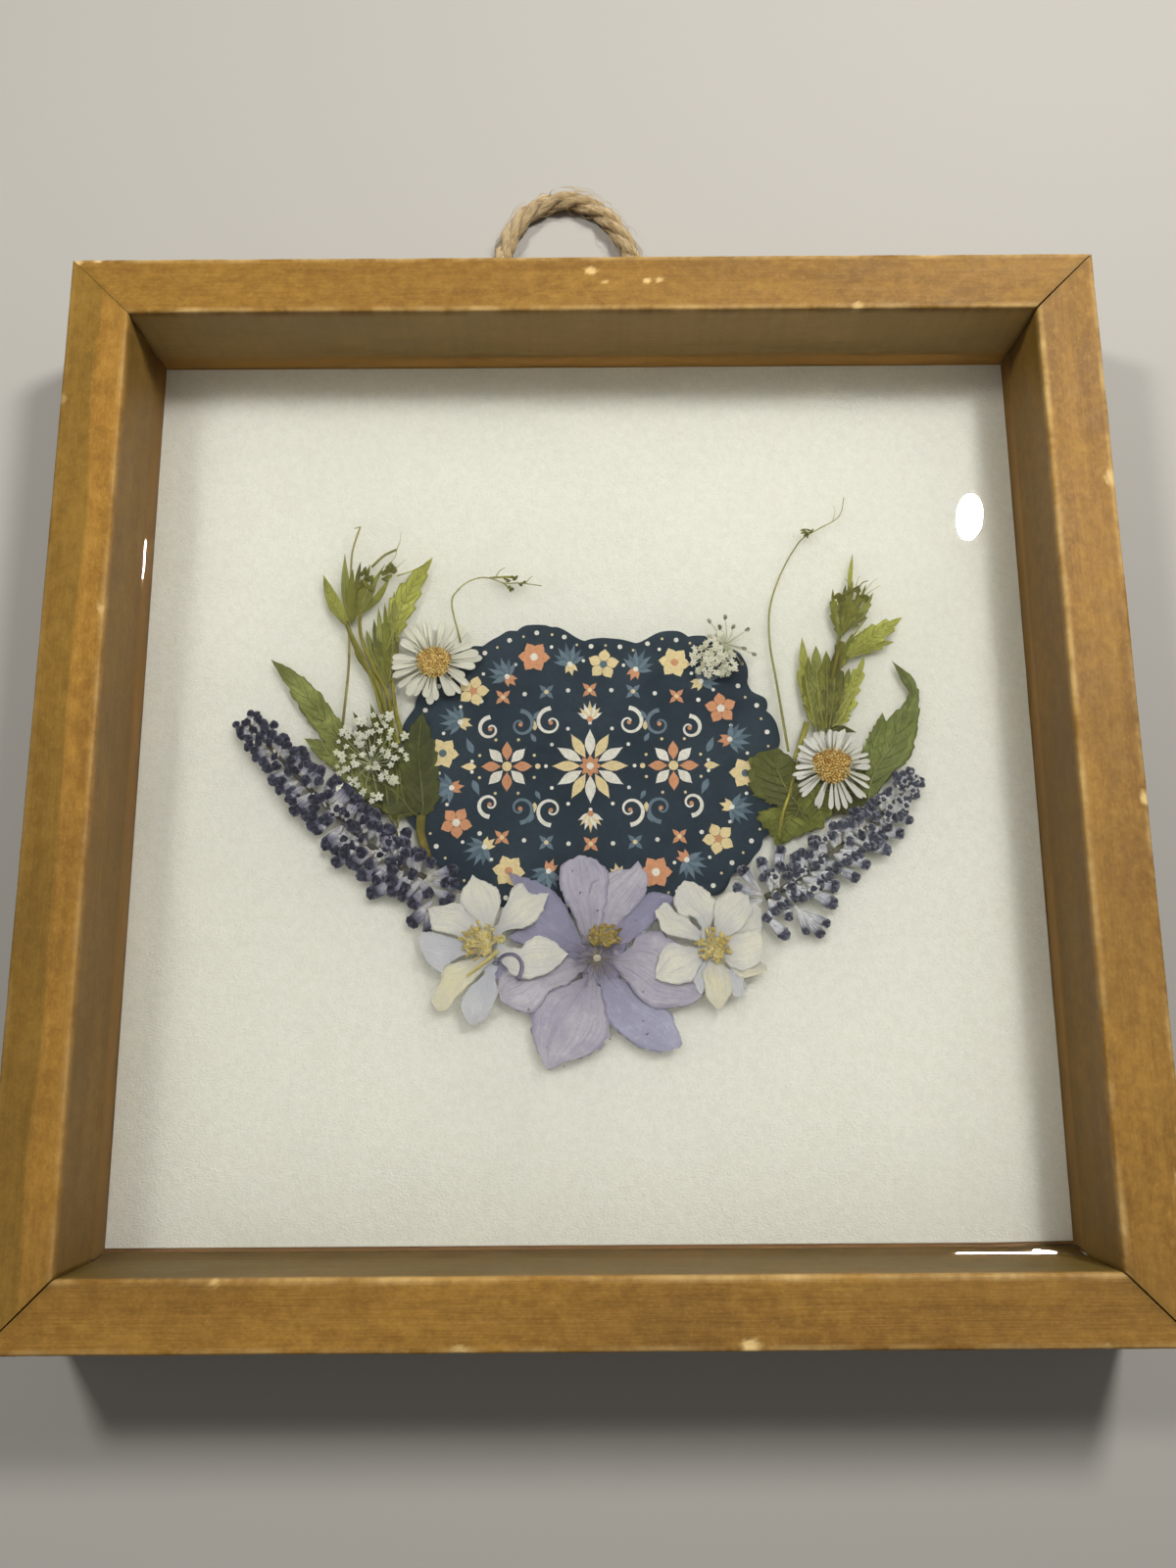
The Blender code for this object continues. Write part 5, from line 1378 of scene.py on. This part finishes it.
# Each piece's stalks: path, height, radius at the start and at the finish, colour
STALKS = {
    "leaf_left": [
        ([(-36.5, -8.6), (-36.6, -12.5), (-35.4, -16.5), (-34.3, -20.4)], 8.4, 1.1, 0.9, srgb(122, 104, 50)),
        ([(-43.6, -8.6), (-42.2, -11.6), (-41.6, -14.4)], 8.4, 0.35, 0.3, srgb(129, 113, 55)),
        ([(-41.6, -8.6), (-41.8, -11.6)], 8.4, 0.3, 0.3, srgb(129, 113, 55)),
    ],
    "leaf_right": [
        ([(42.6, -14.6), (43.6, -9), (45.2, -4.5), (47.5, 3)], 8.6, 0.5, 0.35, srgb(174, 162, 73)),
    ],
    "sprig_left": [
        ([(-54.7, 36.5), (-52.6, 31), (-50.2, 26.1), (-47.5, 22), (-44.3, 12.9), (-42, 7.5)],
         9.0, 0.5, 0.75, srgb(134, 128, 58)),
        ([(-53.6, 34), (-50.6, 28.0), (-47.9, 21), (-45.4, 13), (-43.4, 6)], 8.95, 0.3, 0.4,
         srgb(158, 148, 74)),
        ([(-43.8, 22.9), (-42.9, 15.6), (-41.1, 8.8)], 9.0, 0.5, 0.6, srgb(147, 138, 62)),
        ([(-51.6, 39), (-51.2, 33), (-48.4, 26), (-44.8, 19), (-43.6, 12)], 8.9, 0.4, 0.55,
         srgb(156, 144, 62)),
        ([(-54.7, 12), (-53.8, 25.6), (-54, 34.7), (-54, 48.4), (-53.8, 53.8), (-52.2, 59.7)],
         8.8, 0.34, 0.22, srgb(174, 162, 106)),
        ([(-49.3, 49.7), (-46.5, 52.5), (-43.6, 54.0)], 9.0, 0.32, 0.3, srgb(158, 158, 91)),
        ([(-43.6, 54.0), (-42.9, 56), (-42.7, 58.4)], 9.0, 0.14, 0.06, srgb(214, 212, 162)),
        ([(-43.4, 47.5), (-39.7, 48.8), (-36.5, 50.6)], 9.0, 0.22, 0.14, srgb(196, 196, 118)),
        ([(-46.2, 49.5), (-44, 52), (-43.5, 54)], 9.0, 0.14, 0.1, srgb(196, 196, 129)),
        ([(-44.5, 48.5), (-42.6, 50.4), (-41.4, 51.6)], 9.0, 0.12, 0.06, srgb(207, 207, 140)),
        ([(-52.2, 59.7), (-53.6, 59.2)], 8.8, 0.16, 0.12, srgb(185, 174, 129)),
    ],
    "sprig_right": [
        ([(58.8, 31), (57.6, 27.5), (56.0, 22)], 9.15, 0.7, 0.5, srgb(113, 104, 48)),
        ([(49.9, 12), (48.6, 8.0), (46.7, 3.4)], 8.95, 0.75, 0.5, srgb(169, 162, 79)),
        ([(60.4, 31), (62.6, 34), (64.9, 36.8)], 9.0, 0.24, 0.1, srgb(151, 156, 73)),
        ([(61, 31.4), (63.6, 33.4), (65.9, 34.9)], 9.0, 0.24, 0.1, srgb(151, 156, 73)),
        ([(62.6, 43), (64, 45), (65.4, 45.6)], 9.0, 0.2, 0.12, srgb(140, 144, 68)),
        ([(64, 42.4), (66, 44.8), (67.6, 46.2)], 9.0, 0.1, 0.05, srgb(196, 196, 129)),
        ([(64.4, 42), (66.8, 43.6), (68.2, 44.4)], 9.0, 0.1, 0.05, srgb(196, 196, 129)),
        ([(61.4, 44.4), (60.6, 45.6), (60.0, 46.2)], 9.0, 0.12, 0.06, srgb(174, 174, 106)),
        ([(62.6, 44.4), (63.2, 46.2), (63.6, 46.8)], 9.0, 0.1, 0.05, srgb(196, 196, 129)),
    ],
    "tendril_left": [
        ([(-28.4, 31.3), (-30.6, 40.6), (-29.1, 44.1), (-26.3, 46.3), (-22.7, 47), (-18.4, 45.6),
          (-14.9, 45.6),
          (-9.9, 44.9)], 9.95, 0.26, 0.14, srgb(196, 194, 138)),
        ([(-20.6, 47), (-19.6, 48.6), (-18.4, 49.4)], 8.9, 0.16, 0.08, srgb(196, 194, 129)),
        ([(-22, 46.9), (-18.6, 47.1), (-16.3, 47)], 8.9, 0.24, 0.3, srgb(174, 176, 100)),
        ([(-19, 45.8), (-17.6, 44.6), (-17, 43.4)], 8.9, 0.18, 0.2, srgb(174, 176, 100)),
        ([(-13.6, 45.6), (-12.6, 46.8), (-12.0, 47.2)], 8.9, 0.12, 0.07, srgb(196, 194, 129)),
    ],
    "tendril_right": [
        ([(45.4, 5.2), (44, 16.5), (43.1, 23.4), (42.2, 30.2), (42.2, 36.5), (43.1, 41.5), (45.4, 47.5),
          (48.1, 52.5), (50.8, 56.1), (54.9, 58.6), (59.5, 61.5), (60.9, 66.3)],
         8.9, 0.34, 0.1, srgb(182, 178, 113)),
        ([(58.0, 60.4), (58.6, 63), (58.2, 64.2)], 8.9, 0.09, 0.05, srgb(207, 203, 151)),
    ],
}
# Each piece's buds: place (x, y), length, width, angle
BUDS = {
    "sprig_left": [
        (-50.9, 48.4, 1.6, 0.9, 1.3), (-49.4, 46.8, 1.5, 0.9, 0.9), (-51.4, 45.4, 1.6, 0.9, 1.6),
        (-49.2, 44.6, 1.3, 0.9, 1.1), (-45.9, 48.6, 1.5, 1.1, 0.9), (-44.3, 48.9, 1.2, 0.9, 0.5),
        (-45.6, 47.0, 1.4, 0.9, 0.3), (-44.9, 50.0, 0.9, 0.7, 1.2),
    ],
    "sprig_right": [
        (58.6, 41.6, 1.5, 1.1, 1.3), (60.8, 43.0, 1.4, 1.0, 1.2), (62.7, 43.4, 1.3, 0.9, 0.6),
        (64.6, 41.4, 1.4, 0.9, 0.7), (62.0, 37.6, 1.5, 0.9, 1.0), (59.6, 38.6, 1.6, 1.0, 1.3),
    ],
    "tendril_left": [
        (-16.2, 46.9, 0.8, 0.55, 0.1), (-17.0, 44.3, 0.75, 0.5, 1.3), (-14.4, 45.5, 0.9, 0.45, 0.0),
        (-18.0, 46.4, 0.9, 0.4, -0.3),
    ],
    "tendril_right": [(51.6, 57.2, 1.2, 0.5, 0.8), (52.6, 57.9, 1.1, 0.4, 0.3), (51.2, 57.9, 0.8, 0.4, 1.2)],
}


def leaf_veins(shapes, outline, height, colour, seed):
    """A raised midrib and side veins on a leaf."""
    base, left, tip, right = outline
    count = 24
    first = evenly([base, *left, tip], count)
    last = evenly([base, *right[::-1], tip], count)
    middle = (first + last) / 2
    pale = mixed(colour, srgb(206, 204, 132), 0.4)
    deep = mixed(colour, srgb(48, 52, 24), 0.45)
    midrib = [(x, y, height + 0.1) for x, y in middle[::3]]
    tube(shapes, midrib, 0.22, 0.08, pale, 5, seed=seed % 1, count=count)
    for k in range(3, count - 5, 2):
        shade = deep if (k // 2) % 2 else mixed(deep, pale, 0.45)
        for edge in (first, last):
            if np.linalg.norm(edge[k] - middle[k]) < 0.7:
                continue
            far = 0.8 + 0.12 * ripple(k * 1.3, seed)
            end = middle[k + 3] + (edge[k + 3] - middle[k + 3]) * far
            bend = (middle[k] * 0.45 + end * 0.55) + (middle[k] - middle[k + 3]) * 0.12
            path = [(*middle[k], height + 0.08), (*bend, height + 0.08), (*end, height + 0.06)]
            tube(shapes, path, 0.11, 0.04, shade, 4, seed=(seed + k) % 1, count=6)


def build_greenery():
    """Leaves, sprigs and tendrils."""
    leaf = tinted(
        "leaf_look", (96, 96, 42), (88, 94, 42), (84, 84, 34), 0.4, 0.5, 0.4, 0.94, True, 300.0, 0.8, 0.7,
    )
    sprig = tinted(
        "sprig_look", (112, 110, 42), (106, 104, 38), (92, 86, 32), 0.35, 0.4, 0.4, 0.94, True, 280.0, 0.8,
    )
    for name, blades, spears, look, slot in (
        ("leaf_left", LEAF_LEFT, (), leaf, "leaf_green"), ("leaf_right", LEAF_RIGHT, (), leaf, "leaf_green"),
        ("sprig_left", (), SPRIG_LEFT, sprig, "sprig_green"),
        ("sprig_right", (), SPRIG_RIGHT, sprig, "sprig_green"),
        ("tendril_left", (), (), sprig, "sprig_green"), ("tendril_right", (), (), sprig, "sprig_green"),
    ):
        shapes = Shapes()
        for number, (outline, height, colour, teeth) in enumerate(blades):
            teeth = teeth if teeth[0] else (9, 0.45)
            blade(shapes, outline, height, colour, 70, 15, 0.06, 0.3, teeth, number * 2.3 + len(name))
            leaf_veins(shapes, outline, height, colour, number * 2.3)
        for number, (base, tip, width, bend, colour, teeth) in enumerate(spears):
            outline = spear(base, tip, width, bend)
            height = 8.9 + 0.025 * (number % 5)
            rows = 40 if teeth[0] else 20
            blade(shapes, outline, height, colour, rows, 9, 0.05, 0.15, teeth, number * 1.3 + len(name))
            if width > 2.5:
                leaf_veins(shapes, outline, height, colour, number * 1.3)
        for path, height, start, finish, colour in STALKS[name]:
            path = [(x, y, height) for x, y in path]
            tube(shapes, path, start, finish, colour, 7, 0.45, count=len(path) * 8)
        for x, y, long, wide, turn in BUDS.get(name, ()):
            for k in range(3):
                place = (x + 0.4 * k - 0.4, y + 0.35 * math.sin(k * 2 + x), 9.15)
                shade = mixed(GREEN_DARK, GREEN_OLIVE, (x * 7.3 + k * 0.4) % 1)
                angle = turn + 0.6 * (k - 1)
                ball(shapes, place, (long * 0.7, wide * 0.6, 0.25), shade, angle, 9, 5, (x + k) % 1)
        shapes.make(name + "_foliage", look, (name,))

# Plaque

# The plaque's edge, clockwise
PLAQUE_EDGE = [
    (-39, 16.3), (-35.6, 20.6), (-32.5, 24.6), (-27.7, 29.1), (-23.4, 30.6), (-19.1, 32), (-16.3, 34.1),
    (-10.6, 34.9), (-7, 34.9), (-2, 32), (2.3, 31.7), (8, 31.3), (12.3, 31.3), (18, 33.1), (25.1, 32.3),
    (33.7, 29.1), (36.6, 23.4), (37.3, 19.1), (40.9, 16.3), (42.3, 10.6), (44.0, 4.0), (43.6, -4.0),
    (42.6, -10),
    (40.1, -13.7), (37.4, -17.0), (33.7, -20.9), (28, -26.6), (20.9, -27.4), (12, -30), (0, -31), (-12, -30),
    (-20, -28), (-29.1, -23.7), (-33.4, -18), (-37.7, -12.3), (-40.6, -4), (-40.8, 2), (-40.6, 9.1),
]
PLAQUE_MIDDLE = np.array((1.2, 2.2))
SCALLOPS = 25
SLATE = srgb(108, 124, 136)
SLATE_DARK = srgb(88, 106, 116)
SAND = srgb(228, 208, 158)
PEACH = srgb(204, 146, 108)
CHALK = srgb(234, 231, 219)
# The print's height over the paper and from one layer to the next. Shapes in a layer differ a little, so that
# none lies exactly in another
INK_GAP = 0.008
INK_LIFT = 0.02
INK_STEP = 0.0015


def ink_height(shapes, level):
    """The height of the next printed shape."""
    return PLAQUE_TOP + INK_GAP + INK_LIFT * (level + 1) + INK_STEP * (len(shapes.verts) % 12)


def flat(shapes, points, colour, level=0):
    """A flat printed shape, star-shaped about its middle."""
    z = ink_height(shapes, level)
    count = len(points)
    verts = [(x, y, z) for x, y in points] + [(x, y, z - INK_LIFT) for x, y in points]
    middle = np.mean(points, axis=0)
    verts += [(*middle, z), (*middle, z - INK_LIFT)]
    faces = []
    for i in range(count):
        j = (i + 1) % count
        faces += [(i, j, 2 * count), (count + j, count + i, 2 * count + 1), (j, i, count + i, count + j)]
    shapes.add(verts, faces, [(0.5, 0.5)] * len(verts), (*colour[:3], 0.5))


def spot(shapes, x, y, radius, colour, level=0):
    """A printed dot."""
    angles = np.linspace(0, 2 * math.pi, 13)[:-1]
    flat(shapes, [beside(x, y, radius, angle) for angle in angles], colour, level)


def drop(shapes, x, y, angle, length, width, colour, level=0, point=0.62):
    """A printed teardrop from (x, y) along an angle."""
    points = []
    for t in np.linspace(0, 2 * math.pi, 19)[:-1]:
        u = (1 - math.cos(t)) / 2
        v = math.sin(t) * math.sin(math.pi * u**point) * 0.5
        points.append((
            x + math.cos(angle) * length * u - math.sin(angle) * width * v,
            y + math.sin(angle) * length * u + math.cos(angle) * width * v,
        ))
    flat(shapes, points, colour, level)


def scroll(shapes, x, y, radius, start, turns, colour):
    """A printed line that winds in to (x, y) and gets thinner."""
    path = []
    for t in np.linspace(0, 1, 22):
        path.append(beside(x, y, radius * (1 - 0.86 * t), start + turns * 2 * math.pi * t))
    line = evenly(path, len(path) * 5)
    z = ink_height(shapes, 0)
    grid = np.zeros((len(line), 2, 3))
    for i, point in enumerate(line):
        way = Vector(line[min(i + 1, len(line) - 1)] - line[max(i - 1, 0)]).normalized()
        side = way.orthogonal() * (1 - 0.65 * i / len(line)) / 2
        grid[i, 0] = (point[0] + side.x, point[1] + side.y, z)
        grid[i, 1] = (point[0] - side.x, point[1] - side.y, z)
    sheet(shapes, grid, np.full((len(line) * 2, 2), 0.5), (*colour[:3], 0.5), INK_LIFT)


def fan(shapes, x, y, angle, reach, spread, length, loss, width, colours, level=0):
    """A fan of printed drops to both sides of an angle, the outer ones shorter, in two colours by turns."""
    for k in range(-reach, reach + 1):
        drop(shapes, x, y, angle + k * spread, length - loss * abs(k), width, colours[k % 2], level)


def rosette(shapes, x, y, petals, hub, length, width, colours, point, ring, turn, radius, dots):
    """A printed flower of drops around a hub, in two colours by turns, with a ring of dots."""
    for k in range(petals):
        angle = 2 * math.pi * k / petals
        drop(shapes, *beside(x, y, hub, angle), angle, length, width, colours[k % 2], 0, point)
        spot(shapes, *beside(x, y, ring, angle + turn), radius, dots)


def build_plaque():
    """The scalloped plaque and its printed pattern of rosettes, scrolls and pearls."""
    edge = evenly([*PLAQUE_EDGE, PLAQUE_EDGE[0]], 361)[:-1]
    rim = []
    for i, (x, y) in enumerate(edge):
        lobe = abs(math.sin(i * math.pi / len(edge) * SCALLOPS + 1.6 * ripple(x * 0.05, y * 0.05)))
        wave = 0.985 + 0.034 * lobe**0.7 + 0.008 * ripple(x * 0.3, y * 0.3)
        rim.append(PLAQUE_MIDDLE + (np.array((x, y)) - PLAQUE_MIDDLE) * wave)

    def inward(i, part):
        return PLAQUE_MIDDLE + (rim[i] - PLAQUE_MIDDLE) * part

    rings = ((1.0, 0.06), (0.995, 0.0), (0.94, 0.0), (0.7, 0.0), (0.35, 0.0))
    size = len(rim)
    verts = [(*inward(i, part), PLAQUE_TOP - sunk) for part, sunk in rings for i in range(size)]
    faces = [tuple(reversed(face)) for face in grid_faces(len(rings), size, closed=True)]
    top = len(verts)
    foot = top + 1
    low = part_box("scalloped_plaque")[0][2] / MM
    verts += [(*PLAQUE_MIDDLE, PLAQUE_TOP), *((*point, low) for point in rim), (*PLAQUE_MIDDLE, low)]
    for i in range(size):
        j = (i + 1) % size
        faces.append((top - size + j, top - size + i, top))
        faces += [(i, j, foot + j, foot + i), (foot + i, foot + j, foot + size)]
    shapes = Shapes()
    shapes.add(verts, faces, [(0.5, 0.5)] * len(verts), (*srgb(40, 56, 66)[:3], 0.5))
    look = Look("plaque_look")
    tooth = look.noise(look.place("Object"), 900.0, 2.0, 0.6)
    cloud = look.noise(look.place("Object"), 90.0, 2.0, 0.5)
    colour = look.ramp(cloud, (0.3, srgb(39, 50, 59)), (0.7, srgb(48, 60, 69)))
    colour = look.stain(colour, (tooth, (0.35, 0.3), (0.65, 0.0), srgb(30, 42, 50)))
    look.bump(tooth, 0.1, 0.0001)
    look.set(Base_Color=colour, Roughness=0.6, Specular_IOR_Level=0.05)
    shapes.make("plaque", look.material, ("scalloped_plaque",))
    build_pattern(rim, inward)


def build_pattern(rim, inward):
    """The printed pattern, in its border and in its middle."""
    shapes = Shapes()
    for i in range(0, len(rim), 5):
        big = i % 10 == 0
        spot(shapes, *inward(i, 0.94), 0.55 if big else 0.3, CHALK if big else SAND)
    colours = ((SAND, PEACH), (PEACH, CHALK), (SAND, SLATE_DARK))
    for number, i in enumerate(range(15, len(rim), 30)):
        place = inward(i, 0.79)
        out = math.atan2(*(rim[i] - PLAQUE_MIDDLE)[::-1])
        colour, heart = colours[number % 3]
        petals = 5 + number % 2
        for k in range(petals):
            drop(shapes, *place, out + 2 * math.pi * k / petals, 3.7, 3.7 * 0.72, colour, 0, 1.3)
        spot(shapes, *place, 3.7 * 0.24, heart, 1)
        for k in (-1, 1):
            spot(shapes, *beside(*place, 4.6, out + k * 1.5), 0.4, CHALK)
    for number, i in enumerate(range(0, len(rim), 30)):
        place = inward(i, 0.74)
        out = math.atan2(*(rim[i] - PLAQUE_MIDDLE)[::-1])
        colour = PEACH if number % 2 else SAND
        fan(shapes, *place, out, 3, 0.42, 5.4, 0.5, 1.35, (SLATE_DARK, SLATE))
        fan(shapes, *place, out + math.pi, 1, 0.62, 3.0, 0.5, 1.3, (colour, colour), 1)
        spot(shapes, *place, 0.6, CHALK, 2)
    x, y = 1.0, 2.2
    rosette(shapes, x, y, 12, 2.0, 6.6, 2.4, (SAND, CHALK), 0.9, 9.9, 0.0, 0.42, CHALK)
    for k in range(8):
        drop(shapes, x, y, k * math.pi / 4, 2.6, 1.3, PEACH, 1, 1.2)
    spot(shapes, x, y, 0.8, CHALK, 2)
    for way in (-1, 1):
        side = x + way * 18.6
        rosette(shapes, side, y, 8, 1.2, 4.6, 2.3, (PEACH, CHALK), 1.0, 6.6, 0.39, 0.34, SAND)
        spot(shapes, side, y, 1.1, SAND, 1)
        spot(shapes, x + way * 11.7, y, 0.6, SAND)
        for up in (-1, 1):
            for far, tall, size, colour, spin in (
                (8.8, 10.0, 3.4, CHALK, -1.15), (15.6, 9.6, 3.2, SLATE, 1.15), (22.4, 8.6, 2.8, CHALK, -1.15),
            ):
                start = math.pi / 2 * up if way > 0 else -math.pi / 2 * up - math.pi
                scroll(shapes, x + way * far, y + up * tall, size, start, spin * way * up, colour)
                spot(shapes, x + way * far, y + up * tall, 0.5, PEACH, 1)
            for k in range(3):
                place = (x + way * (12.2 + 0.2 * k), y + up * (5.6 + 2.6 * k))
                angle = math.pi / 2 * up - way * (0.5 - 0.5 * k)
                drop(shapes, *place, angle, 2.4, 1.1, SAND if k % 2 else SLATE)
            drop(shapes, x + way * 26.2, y + up * 3.0, up * math.pi / 2 - way * 0.4, 4.0, 1.6, SLATE)
            spot(shapes, x + way * 26.4, y + up * 1.2, 0.4, CHALK)
        drop(shapes, x + way * 25.4, y, 0 if way > 0 else math.pi, 3.6, 1.8, SAND)
    for up in (-1, 1):
        fan(shapes, x, y + up * 10.8, up * math.pi / 2, 3, 0.36, 4.4, 0.4, 1.2, (SAND, CHALK))
        spot(shapes, x, y + up * 10.8, 0.7, PEACH, 1)
        for k in range(-5, 6):
            place = (x + k * 4.9, y + up * (17.6 - 0.1 * k * k))
            if k % 2:
                spot(shapes, *place, 0.5, CHALK)
                continue
            for petal in range(4):
                drop(shapes, *place, petal * math.pi / 2 + 0.78, 2.3, 1.15, SLATE if k % 4 else PEACH)
            spot(shapes, *place, 0.5, SAND, 1)
    look = Look("print_look")
    tooth = look.noise(look.place("Object"), 1600.0, 2.0, 0.6)
    worn = look.ramp(tooth, (0.3, 0.25), (0.6, 0.0))
    colour = look.mix(worn, look.tint().outputs["Color"], srgb(150, 140, 120), "MULTIPLY")
    look.set(Base_Color=colour, Roughness=0.55, Specular_IOR_Level=0.05)
    shapes.make("plaque_pattern", look.material, flat=True)

# Camera, floor and light

def put(name, data):
    """A new object in the scene."""
    made = bpy.data.objects.new(name, data)
    bpy.context.scene.collection.objects.link(made)
    return made


def lamp(name, place, size, energy, colour, aim=(0, 0, 0.01)):
    """A rectangular lamp, aimed at the part."""
    light = bpy.data.lights.new(name, "AREA")
    light.shape = "RECTANGLE"
    light.size, light.size_y = size
    light.energy = energy
    light.color = colour
    made = put(name, light)
    made.location = place
    made.rotation_euler = (Vector(aim) - Vector(place)).to_track_quat("-Z", "Y").to_euler()
    return made


def build_stage():
    """The camera, the floor and soft studio light."""
    camera = put("camera", bpy.data.cameras.new("camera"))
    camera.location = [value * MM for value in CAMERA_PLACE]
    camera.rotation_euler = [math.radians(value) for value in CAMERA_TURN]
    camera.data.lens = CAMERA_LENS
    camera.data.sensor_width = SENSOR
    camera.data.clip_start = 0.005
    bpy.context.scene.camera = camera

    mesh = bpy.data.meshes.new("floor")
    reach = 3.0
    corners = [(-reach, -reach, 0), (reach, -reach, 0), (reach, reach, 0), (-reach, reach, 0)]
    mesh.from_pydata(corners, [], [(0, 1, 2, 3)])
    mesh.materials.append(Look("floor_look").set(Base_Color=srgb(150, 146, 140), Roughness=0.85))
    floor = put("floor", mesh)

    world = bpy.data.worlds.new("studio")
    bpy.context.scene.world = world
    world.use_nodes = True
    tree = world.node_tree
    way = tree.nodes.new("ShaderNodeTexCoord")
    split = tree.nodes.new("ShaderNodeSeparateXYZ")
    ramp = tree.nodes.new("ShaderNodeValToRGB")
    for element, colour in zip(ramp.color_ramp.elements, ((0.55, 0.54, 0.52, 1), (1.0, 0.99, 0.96, 1))):
        element.color = colour
    sky = tree.nodes["Background"]
    tree.links.new(way.outputs["Generated"], split.inputs[0])
    tree.links.new(split.outputs["Z"], ramp.inputs[0])
    tree.links.new(ramp.outputs[0], sky.inputs["Color"])
    sky.inputs["Strength"].default_value = 0.16

    for name, place, size, energy in (
        ("ceiling", (-0.05, -0.3, 1.15), 1.4, 1.9),
        ("lamp_right", (0.23, 0.30, 0.45), 0.09, 3.8),
        ("lamp_left", (-0.31, 0.26, 0.52), 0.09, 2.9),
    ):
        high = lamp(name, place, (size, size), energy, (1.0, 1.0, 0.975))
        high.visible_glossy = False
        high.visible_camera = False
    # This one is only seen as highlights on the resin
    glint = lamp(
        "glint", (0.300, 0.332, 0.621), (0.019, 0.035), 3.8, (1.0, 1.0, 1.0), aim=(0.0886, 0.0595, 0.013),
    )
    glint.data.shape = "ELLIPSE"
    glint.rotation_euler.rotate_axis("Z", math.radians(35))
    glint.visible_diffuse = False
    glint.visible_transmission = False
    bpy.context.scene.view_settings.view_transform = "Standard"


build_stage()
build_cord()
build_frame()
dress_nodes()
build_resin()
build_plaque()
build_greenery()
build_lace()
build_hyacinths()
build_daisies()
build_columbines()
